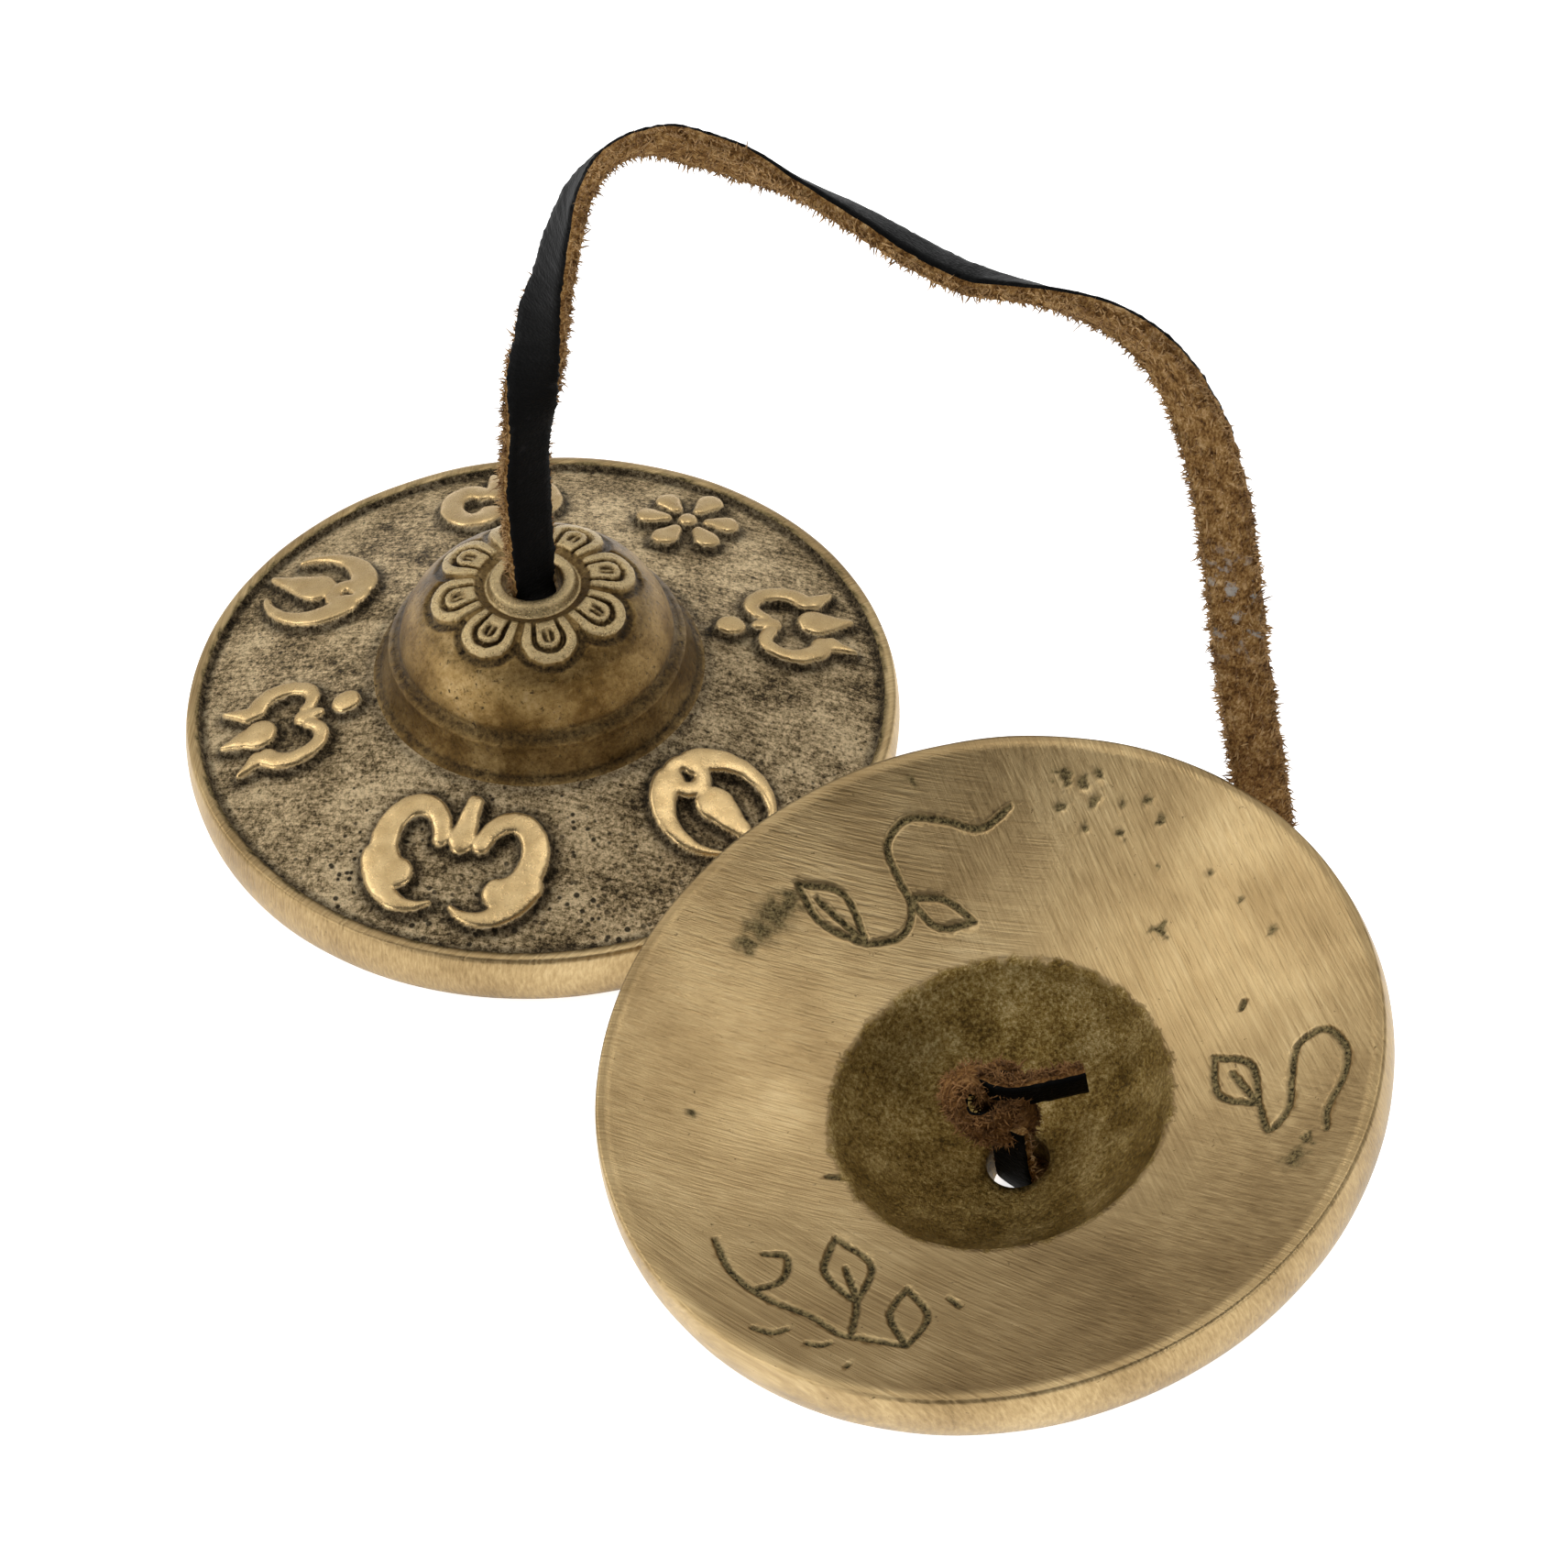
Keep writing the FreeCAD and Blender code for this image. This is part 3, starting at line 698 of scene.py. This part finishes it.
def grime_on(grain):
    """Grime from the mesh, thinner on the high grain."""
    return times(attribute(grain.id_data, "grime"), mapped(grain, 0.38, 0.62, 1.0, 0.6))


def antique_bronze():
    """Dark pitted casting, rubbed bright on the ornament."""
    material, tree, shader, place = new_material("antique_cast_bronze", {"Metallic": 0.9})
    patches = noise(place, 0.18, 4.0, 0.6)
    grain = noise(place, 2.0, 6.0, 0.85)
    speckle = noise(place, 4.5, 3.0, 0.8)
    streaks = noise(stretched(place, (0.25, 2.6, 1.0), -18), 1.0, 5.0, 0.8)
    # pits in the casting, larger towards its low y side and deeper where the patches are light
    cells = node(tree, "TexVoronoi", {"Vector": place, "Scale": 1.1, "Randomness": 1.0}).outputs["Distance"]
    pit_size = mapped(axis_of(place, 1), -26.0, -8.0, 0.34, 0.16)
    pit = mapped(maths("SUBTRACT", cells, pit_size), -0.10, 0.0, 1.0, 0.0)
    pit = times(pit, mapped(patches, 0.40, 0.56, 0.25, 1.0))
    tone = weighted((patches, 0.45), (grain, 0.95), (speckle, 0.40), (streaks, 0.40))
    cast = ramp(maths("SUBTRACT", tone, 0.60), [
        (0.36, "3a3021"), (0.45, "907d5b"), (0.52, "c6ae86"), (0.62, "efdab0")])
    cast = mixed(times(pit, 0.9), cast, "1a140d")
    cast = mixed(grime_on(grain), cast, "1f1911")
    gold = mixed(noise(place, 0.6, 3.0), "a88a5a", "dcc08d")
    shine = plus(attribute(tree, "polish"), mapped(grain, 0.3, 0.7, -0.16, 0.14))
    shine = mapped(shine, 0.22, 0.62)
    base = mixed(shine, cast, gold)
    roughness = plus(mapped(shine, 0.0, 1.0, 0.50, 0.27), mapped(grain, 0.3, 0.7, -0.06, 0.10))
    bumps = maths("SUBTRACT", plus(grain, times(speckle, 0.4)), times(pit, 0.6))
    soften = mapped(shine, 0.0, 1.0, 1.0, 0.10)
    attach(shader, base, roughness, times(bumps, soften), 0.26)
    return material


def boss_bronze():
    """The boss: smoother brown bronze, rubbed on the dome, with bright petals and collar."""
    material, tree, shader, place = new_material("boss_bronze", {"Metallic": 0.93})
    patches = noise(place, 0.22, 4.0, 0.6)
    grain = noise(place, 2.2, 5.0, 0.8)
    body = ramp(weighted((patches, 0.75), (grain, 0.40)), [
        (0.36, "3b2b13"), (0.50, "6f552c"), (0.64, "9a7e4e"), (0.80, "c0a473")])
    specks = mapped(noise(place, 1.8, 3.0, 0.75), 0.60, 0.68, 0.0, 0.85)
    specks = times(specks, mapped(patches, 0.45, 0.55))
    body = mixed(specks, body, "1d150c")
    body = mixed(grime_on(grain), body, "1e160d")
    gold = mixed(grain, "9d8555", "d3bc90")
    shine = plus(attribute(tree, "polish"), mapped(grain, 0.3, 0.7, -0.25, 0.15))
    shine = mapped(shine, 0.25, 0.7)
    base = mixed(shine, body, gold)
    roughness = plus(mapped(shine, 0.0, 1.0, 0.29, 0.26), mapped(grain, 0.3, 0.7, -0.05, 0.10))
    bumps = plus(grain, times(specks, -0.8))
    attach(shader, base, roughness, bumps, 0.11, 0.9)
    return material


def sanding_lines(place):
    """Fine lines that run three ways on different parts of the face."""
    wander = times(maths("SUBTRACT", noise(place, 0.12, 2.0), 0.5), 26.0)
    ways = [noise(stretched(place, (0.10, 4.6, 1.0), turn), 1.0, 3.0, 0.6) for turn in (20, 44, 78)]
    low_part = mapped(plus(axis_of(place, 1), wander), -14.0, -4.0, 1.0, 0.0)
    steep_part = mapped(plus(axis_of(place, 0), wander), -6.0, 4.0, 1.0, 0.0)
    return mixed(low_part, mixed(steep_part, ways[0], ways[2]), ways[1])


def satin_bronze():
    """Turned and sanded faces with fine lines, and the rough olive-brown hollow of the boss."""
    values = {"Metallic": 0.97, "Anisotropic": 0.45}
    material, tree, shader, place = new_material("satin_bronze", values)
    tangent = node(tree, "Tangent", direction_type="RADIAL", axis="Z").outputs[0]
    tree.links.new(tangent, shader.inputs["Tangent"])
    patches = noise(place, 0.10, 3.0, 0.55)
    fine = noise(place, 3.2, 4.0, 0.7)
    grain = noise(place, 2.8, 5.0, 0.8)
    lines = sanding_lines(place)
    grime = attribute(tree, "grime")
    metal = ramp(weighted((patches, 0.7), (lines, 0.72)), [
        (0.48, "87704b"), (0.65, "a1885f"), (0.80, "b59c70"), (0.96, "cab286")])
    specks = mapped(noise(place, 1.3, 3.0, 0.8), 0.66, 0.74, 0.0, 0.8)
    metal = mixed(specks, metal, "4c3c24")
    dirt = mixed(mapped(fine, 0.4, 0.62, 0.0, 1.0), "2e2819", "8c7c55")
    metal = mixed(grime, metal, dirt)
    # the hollow, with a ragged edge
    depth = weighted((noise(place, 0.25, 4.0), 0.38), (grain, 0.72))
    hollow = ramp(depth, [(0.40, "3b2f18"), (0.50, "78602f"), (0.58, "a38a52"), (0.70, "dcc58f")])
    ragged = times(maths("SUBTRACT", grain, 0.5), 1.1)
    rough = mapped(plus(attribute(tree, "rough"), ragged), 0.3, 0.7)
    base = mixed(rough, metal, hollow)
    satin = plus(mapped(lines, 0.3, 0.7, 0.36, 0.47), times(grime, 0.2))
    coarse = mapped(grain, 0.3, 0.7, 0.27, 0.42)
    roughness = node(tree, "Mix", {0: rough, 2: satin, 3: coarse}).outputs[0]
    brushed = times(plus(lines, times(fine, 0.35)), 0.38)
    bumps = node(tree, "Mix", {0: rough, 2: brushed, 3: grain}).outputs[0]
    attach(shader, base, roughness, bumps, 0.18)
    return material


def strap_place(tree):
    """Coordinates along, across and through the strap, in mm."""
    return node(tree, "Attribute", attribute_name="strap_place").outputs["Vector"]


def black_leather():
    """Smooth grain side: near black, finely creased across."""
    material, tree, shader, _ = new_material("black_grain_leather", {"Specular IOR Level": 0.05})
    place = strap_place(tree)
    creases = noise(stretched(place, (1.6, 0.35, 1.0)), 1.0, 4.0, 0.65)
    pores = node(tree, "TexVoronoi", {"Vector": place, "Scale": 3.2}).outputs["Distance"]
    wear = mapped(noise(place, 0.8, 4.0, 0.7), 0.60, 0.72, 0.0, 1.0)
    base = mixed(wear, "080808", "181718")
    roughness = mapped(creases, 0.3, 0.7, 0.46, 0.64)
    attach(shader, base, roughness, plus(creases, times(pores, 0.4)), 0.10)
    return material


def suede_leather(name, codes):
    """Fuzzy flesh side and cut edges, in four colours from dark to light, rubbed pale at one place."""
    material, tree, shader, _ = new_material(name, {"Specular IOR Level": 0.1})
    place = strap_place(tree)
    clumps = noise(place, 0.9, 5.0, 0.7)
    fibres = noise(stretched(place, (2.2, 5.0, 2.2), 25), 1.0, 5.0, 0.75)
    tone = weighted((clumps, 0.60), (fibres, 0.62))
    base = ramp(tone, list(zip((0.48, 0.57, 0.66, 0.78), codes)))
    along = axis_of(place, 0)
    worn = mapped(maths("ABSOLUTE", maths("SUBTRACT", along, WORN_AT)), 2.0, 7.0, 1.0, 0.0)
    worn = times(worn, mapped(noise(place, 0.8, 3.0), 0.56, 0.64, 0.0, 0.75))
    base = mixed(worn, base, "b9b7b2")
    attach(shader, base, mapped(fibres, 0.3, 0.7, 0.82, 0.95), fibres, 0.35)
    return material


def fibre_leather(name, codes):
    """Loose fibres, in two colours."""
    material, tree, shader, _ = new_material(name, {"Roughness": 0.85})
    base = ramp(noise(strap_place(tree), 0.7, 2.0), list(zip((0.35, 0.65), codes)))
    tree.links.new(base, shader.inputs["Base Color"])
    return material


# ======== the thong ========
def lengths(line):
    """The length of each step along a line."""
    return np.linalg.norm(np.diff(line, axis=0), axis=1)


def route_line(points):
    """Points read from the smooth line of a route, in mm, evenly spaced."""
    curve = bpy.data.curves.new("route", "CURVE")
    curve.dimensions = "3D"
    curve.resolution_u = ROUTE_STEPS
    spline = curve.splines.new("NURBS")
    spline.points.add(len(points) - 1)
    for point, place in zip(spline.points, points):
        point.co = (place[0] * MM, place[1] * MM, place[2] * MM, 1)
    spline.order_u = 3
    spline.use_endpoint_u = True
    holder = bpy.data.objects.new("route", curve)
    read = bpy.data.meshes.new_from_object(holder)
    line = np.array([v.co[:] for v in read.vertices]) / MM
    bpy.data.meshes.remove(read)
    bpy.data.objects.remove(holder)
    bpy.data.curves.remove(curve)
    line = line[np.concatenate([[True], lengths(line) > 1e-6])]
    run = np.concatenate([[0], np.cumsum(lengths(line))])
    even = np.linspace(0, run[-1], int(run[-1] / RING_STEP) + 1)
    return np.stack([np.interp(even, run, line[:, k]) for k in range(3)], 1), even


def strap_frames(line, faces):
    """Along, across and grain directions at each point; faces holds the side the grain looks to."""
    along = np.gradient(line, axis=0)
    along /= np.linalg.norm(along, axis=1)[:, None]
    grain = faces - along * (faces * along).sum(1)[:, None]
    grain /= np.linalg.norm(grain, axis=1)[:, None]
    return along, np.cross(grain, along), grain


def strap_ring(wide, thick):
    """Closed outline of the strap's section, across and up: the grain side first, then the flesh side."""
    a, b = wide / 2, thick / 2
    top = [(-a * 0.97, b * 0.55), (-a * 0.90, b * 0.9), (-a * 0.62, b), (-a * 0.2, b * 1.04),
           (a * 0.2, b * 1.04), (a * 0.62, b), (a * 0.90, b * 0.9), (a * 0.97, b * 0.55)]
    low = [(a, 0.0), (a * 0.98, -b * 0.6), (a * 0.88, -b * 0.95), (a * 0.55, -b * 1.02), (a * 0.15, -b),
           (-a * 0.25, -b), (-a * 0.6, -b * 1.03), (-a * 0.88, -b * 0.95), (-a * 0.98, -b * 0.6), (-a, 0.0)]
    return np.array(top + low), len(top) - 1


def strap_rings(line, run, faces, wide, thick, seed):
    """Every ring of a strap as points in mm, its place for the materials, and its directions."""
    along, across, grain = strap_frames(line, faces)
    outline, grain_faces = strap_ring(1.0, 1.0)
    count = len(outline)
    a, b = outline.T
    rows = len(line)
    flesh = (np.arange(count) > grain_faces)[None, :]
    edge = np.abs(a)[None, :] > 0.44
    s = np.repeat(run[:, None], count, 1)
    k = np.arange(count)[None, :] * np.ones((rows, 1))
    side = np.where(a[None, :] > 0, 1.0, -1.0)
    uneven = 0.16 * ripple(s, side * 40, 6.0, seed) + edge * 0.17 * ripple(s, k * 3.1 + side, 0.9, seed + 1)
    fuzz = flesh * 0.13 * ripple(s, k * 1.7, 0.9, seed + 2) + 0.03 * ripple(s, k, 3.0, seed + 3)
    wide, thick = np.broadcast_to(wide, rows)[:, None], np.broadcast_to(thick, rows)[:, None]
    sideways = a * wide + side * edge * uneven
    upward = b * thick + np.sign(b)[None, :] * fuzz
    points = (line[:, None, :] + across[:, None, :] * sideways[:, :, None]
              + grain[:, None, :] * upward[:, :, None])
    place = np.stack([s, sideways, upward], 2)
    return points, place, grain_faces, (along, across, grain)


def strap_mesh(name, points, place, grain_faces, materials, fibres=None):
    """A closed strap from its rings, with any loose fibres in the same mesh."""
    rows, count = points.shape[:2]
    faces, kinds = [], []
    for i in range(rows - 1):
        for j in range(count):
            k = (j + 1) % count
            faces.append((i * count + j, i * count + k, (i + 1) * count + k, (i + 1) * count + j))
            kinds.append(0 if j < grain_faces else 1)
    faces += [tuple(range(count))[::-1], tuple((rows - 1) * count + j for j in range(count))]
    kinds += [1, 1]
    all_points, all_places = points.reshape(-1, 3), place.reshape(-1, 3)
    if fibres is not None:
        base = len(all_points)
        fibre_points, fibre_places, fibre_faces = fibres
        all_points = np.vstack([all_points, fibre_points])
        all_places = np.vstack([all_places, fibre_places])
        faces += [tuple(base + v for v in face) for face in fibre_faces]
        kinds += [2] * len(fibre_faces)
    made = mesh_object(name, all_points, faces, materials)
    made.data.polygons.foreach_set("material_index", kinds)
    vectors = made.data.attributes.new("strap_place", "FLOAT_VECTOR", "POINT")
    vectors.data.foreach_set("vector", all_places.astype(np.float32).ravel())
    shape = bmesh.new()
    shape.from_mesh(made.data)
    bmesh.ops.recalc_face_normals(shape, faces=shape.faces)
    for cap in (face for face in shape.faces if len(face.verts) > 4):
        for edge in cap.edges:
            edge.smooth = False
    shape.to_mesh(made.data)
    shape.free()
    return made


def one_fibre(root, way, beside, dice):
    """Seven points of a curved tapering fibre: two rings of three and a tip."""
    reach = abs(dice.normal(0.0, 0.30)) + 0.28
    curl_way = np.cross(way, dice.normal(size=3))
    thick = dice.uniform(0.05, 0.11)
    side = np.cross(way, beside)
    side /= np.linalg.norm(side)
    up = np.cross(way, side)
    middle = root + way * reach * 0.5 + curl_way * reach * 0.10
    points = []
    for centre, radius in ((root - way * 0.15, thick), (middle, thick * 0.8)):
        for turn in range(3):
            angle = turn * 2 * math.pi / 3
            points.append(centre + (side * math.cos(angle) + up * math.sin(angle)) * radius)
    return points + [root + way * reach + curl_way * reach * 0.35]


def fibre_sides(start):
    """Faces of the fibre whose seven points begin at this index."""
    faces = []
    for turn in range(3):
        after = (turn + 1) % 3
        faces.append((start + turn, start + after, start + 3 + after, start + 3 + turn))
        faces.append((start + 3 + turn, start + 3 + after, start + 6))
    return faces + [(start + 2, start + 1, start)]


def loose_fibres(points, place, frames, wanted, seed):
    """Short curved tapering fibres that stand out of the cut edges and the flesh side."""
    dice = np.random.default_rng(seed)
    rows = len(points)
    along, across, grain = frames
    out_points, out_places, out_faces = [], [], []
    for _ in range(wanted):
        i = dice.integers(1, rows - 1)
        on_edge = dice.random() < EDGE_SHARE
        j = dice.choice(EDGE_POINTS) if on_edge else dice.integers(*FLESH_POINTS)
        way = across[i] * (1 if j < MIDDLE_POINT else -1) if on_edge else -grain[i]
        way = (way + along[i] * dice.normal(0, 0.7) - grain[i] * dice.normal(0.1, 0.5)
               + across[i] * dice.normal(0, 0.3))
        way /= np.linalg.norm(way)
        out_faces += fibre_sides(len(out_points))
        out_points += one_fibre(points[i, j], way, along[i] + 0.3, dice)
        out_places += [place[i, j] + 0.3 * dice.random()] * 7
    return np.array(out_points), np.array(out_places), out_faces


def faces_along(run, table):
    """Which way the grain side looks at each point of a strap, from a table of shares of its length."""
    shares = np.array([share for share, _ in table]) * run[-1]
    ways = np.array([way for _, way in table])
    return np.stack([np.interp(run, shares, ways[:, k]) for k in range(3)], 1)


def thong_size(run):
    """The thong's width and thickness: thin where cymbal B stands on it, and narrower in the holes."""
    thick = THONG_T * (1 - PRESSED_SHARE * smooth(run, run[-1] - PRESSED_FROM, run[-1] - PRESSED_TO))
    in_b = smooth(run, run[-1] - ENTERS_B[0], run[-1] - ENTERS_B[1])
    in_hole = np.maximum(1 - smooth(run, *LEAVES_A), in_b)
    return THONG_W * (1 - NARROWED_SHARE * in_hole), thick


def thong_pieces(materials):
    """The thong in three lengths that meet ring to ring, and the line of the middle one, the arch."""
    line, run = route_line(THONG_ROUTE)
    wide, thick = thong_size(run)
    faces = faces_along(run, GRAIN_FACES)
    points, place, grain_faces, frames = strap_rings(line, run, faces, wide, thick, 21)
    first = int(np.argmax(line[:, 2] > COLLAR_A_BLEND[1]))
    from_fold = np.linalg.norm(line - np.array(FOLD_MIDDLE), axis=1)
    last = int(np.argmin(from_fold)) - int(FOLD_LEAD / RING_STEP)
    stretches = (
        ("thong_at_collar_a", 0, first, END_FIBRES),
        ("thong_arch", first, last, ARCH_FIBRES),
        ("thong_fold_b", last, len(line) - 1, END_FIBRES),
    )
    pieces = {}
    for name, start, end, fibre_count in stretches:
        part = slice(start, end + 1)
        part_frames = tuple(way[part] for way in frames)
        fibres = loose_fibres(points[part], place[part], part_frames, fibre_count, start + 5)
        pieces[name] = strap_mesh(name, points[part], place[part], grain_faces, materials, fibres)
    return pieces, line[first:last + 1]


# an overhand knot seen from its loose side, in mm: right, back and up from the inner mouth of the hole
KNOT_ROUTE = [
    (0.0, 0.0, 3.2), (0.2, 0.5, 4.9), (-0.8, 2.5, 8.6), (-3.2, 2.4, 9.3), (-4.0, 1.0, 7.8),
    (-2.3, -0.3, 6.1), (0.9, -0.2, 5.4), (2.0, 1.8, 6.1), (0.9, 3.5, 7.6), (-1.3, 2.7, 8.1),
    (0.1, 1.4, 7.9), (2.8, 1.3, 7.5), (7.2, 1.6, 7.3),
]
# share of the knot's length, and which way its grain side faces there
KNOT_FACES = [
    (0.0, (0.0, -1.0, 0.0)), (0.12, (0.4, 0.6, -0.6)), (0.25, (0.2, -0.4, -0.9)), (0.36, (0.8, 0.3, 0.0)),
    (0.5, (0.3, 0.8, -0.4)), (0.6, (-0.8, 0.2, 0.3)), (0.7, (-0.2, -1.0, 0.0)), (0.8, (0.2, -0.9, -0.2)),
    (0.9, (0.0, -0.98, -0.1)), (1.0, (0.0, -0.99, -0.12)),
]


def knot_piece(name, mouth, right, back, up, materials, seed):
    """The knot of the thong, tied at the inner mouth of a hole."""
    turn = np.array([right[:], back[:], up[:]])
    points = [tuple(np.array(mouth) + np.array(p) @ turn) for p in KNOT_ROUTE]
    line, run = route_line(points)
    faces = faces_along(run, KNOT_FACES) @ turn
    rings, place, grain_faces, frames = strap_rings(line, run, faces, KNOT_STRAP_W, KNOT_STRAP_T, seed)
    fibres = loose_fibres(rings, place, frames, KNOT_FIBRES, seed)
    return strap_mesh(name, rings, place, grain_faces, materials, fibres)


# ======== the pair ========
metals = [antique_bronze(), satin_bronze(), boss_bronze()]
grain_side = black_leather()
leathers = [
    grain_side,
    suede_leather("brown_suede", ("422a13", "7d592f", "a98350", "d9b787")),
    fibre_leather("thong_fibres", ("7b5830", "bf9a68")),
]
knot_leathers = [  # darker and redder than the thong's suede and fibres
    grain_side,
    suede_leather("knot_suede", ("3c2410", "6c4a28", "8e6537", "b98e5c")),
    fibre_leather("knot_fibres", ("66451f", "a07443")),
]

casting = casting_mesh(metals)
for letter, matrix in (("a", Matrix.Translation(A_CENTRE * MM)), ("b", own_axes_b())):
    cymbal = scene_object("cast_cymbal_" + letter, casting if letter == "a" else casting.copy())
    cymbal.matrix_world = matrix
    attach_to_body(cymbal, "cymbal_" + letter)
    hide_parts("cymbal_" + letter)


def joint_place(name):
    return next(Vector(joint["pos_m"]) for joint in frame["joints"] if joint["name"] == name)


thong, arch_line = thong_pieces(leathers)
low_a, high_a = (A_CENTRE + Vector((0, 0, height)) for height in COLLAR_A_BLEND)
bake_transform(thong["thong_at_collar_a"], "knot_a", "thong_a", start=low_a * MM, end=high_a * MM)
crest, over = joint_place("bend_crest"), OVER_CREST * CREST_REACH * MM
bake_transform(thong["thong_arch"], "thong_a", "thong_b", start=crest - over, end=crest + over)
fold, inward = joint_place("fold_b"), INTO_B * FOLD_REACH * MM
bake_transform(thong["thong_fold_b"], "thong_b", "knot_b", start=fold - inward, end=fold + inward)
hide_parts("thong_a", "thong_b")

own_b = own_axes_b().to_3x3()
mouth_a = A_CENTRE + Vector((0, 0, MOUTH_H))
mouth_b = B_TIP - B_AXIS * (BOSS_TOP_H - MOUTH_H)
axes_a = Vector((1, 0, 0)), Vector((0, -1, 0)), Vector((0, 0, -1))
axes_b = -own_b.col[0], own_b.col[1], -B_AXIS
knots = {
    "knot_a": knot_piece("knot_in_boss_a", mouth_a, *axes_a, knot_leathers, 61),
    "knot_b": knot_piece("knot_in_boss_b", mouth_b, *axes_b, knot_leathers, 83),
}
for body, knot in knots.items():
    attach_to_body(knot, body)
    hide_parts(body)

print("length of the arch, m:", round(float(lengths(arch_line).sum()) * MM, 4),
      "faces of a casting:", sum(len(p.vertices) - 2 for p in casting.polygons))


# ======== floor, light and camera ========
FLOOR_REACH = 1500.0
LIT_POINT = (0, 0, 0.02)
LIGHTS = [  # name, place and size in metres, and watts
    ("key_left", (-0.75, 0.22, 0.66), 0.45, 2.4), ("top_back", (0.25, 0.14, 0.95), 0.35, 1.4),
    ("front_left", (-0.77, -0.40, 0.26), 0.22, 1.8), ("front_right", (0.50, -0.67, 0.34), 0.20, 1.5),
]
# the camera, at the angle the pair is seen from: its right, up and back directions
CAMERA_PLACE = (-16.635, -274.21, 309.45)
CAMERA_AXES = ((0.99546, -0.09297, -0.02027), (0.08117, 0.71847, 0.69081), (-0.04966, -0.68932, 0.72275))
SENSOR = 36.0
FOCAL = 108.16


def floor():
    """A plain pale floor that glows a little, so that it stays even."""
    values = {"Roughness": 0.9, "Specular IOR Level": 0.1, "Emission Color": (1, 1, 1, 1),
              "Emission Strength": 0.8}
    material, tree, shader, place = new_material("pale_floor", values)
    tree.links.new(mixed(noise(place, 0.01, 2.0), "f4f4f4", "fafafa"), shader.inputs["Base Color"])
    corners = [(x * FLOOR_REACH, y * FLOOR_REACH, 0) for x, y in ((-1, -1), (1, -1), (1, 1), (-1, 1))]
    mesh_object("pale_floor", corners, [(0, 1, 2, 3)], [material], False)


def soft_light(name, place, size, power):
    """A square area light that looks at the pair."""
    light = bpy.data.lights.new(name, "AREA")
    light.shape = "SQUARE"
    light.size = size
    light.energy = power
    lamp = scene_object(name, light)
    lamp.location = place
    lamp.rotation_euler = (Vector(LIT_POINT) - lamp.location).to_track_quat("-Z", "Y").to_euler()


def studio():
    """Pale surroundings, dim on the viewer's side, and four soft lights."""
    world = bpy.data.worlds.new("studio")
    world.use_nodes = True
    tree = world.node_tree
    way = node(tree, "TexCoord").outputs["Generated"]
    rising = mapped(axis_of(way, 2), -0.1, 1.0)
    behind = ramp(rising, [(0.0, "c4c4c4"), (0.3, "cacaca"), (1.0, "fbfbfb")])
    sky = mixed(mapped(axis_of(way, 1), -0.28, 0.16, 0.0, 1.0), "4c4c4d", behind)
    tree.links.new(sky, tree.nodes["Background"].inputs["Color"])
    tree.nodes["Background"].inputs["Strength"].default_value = 1.0
    bpy.context.scene.world = world
    for light in LIGHTS:
        soft_light(*light)


def camera():
    data = bpy.data.cameras.new("camera")
    data.sensor_width = SENSOR
    data.lens = FOCAL
    data.clip_start, data.clip_end = 0.01, 10.0
    eye = scene_object("camera", data)
    turn = Matrix(CAMERA_AXES).transposed().to_4x4()
    eye.matrix_world = Matrix.Translation(Vector(CAMERA_PLACE) * MM) @ turn
    bpy.context.scene.camera = eye


floor()
studio()
camera()
bpy.context.scene.view_settings.view_transform = "Standard"
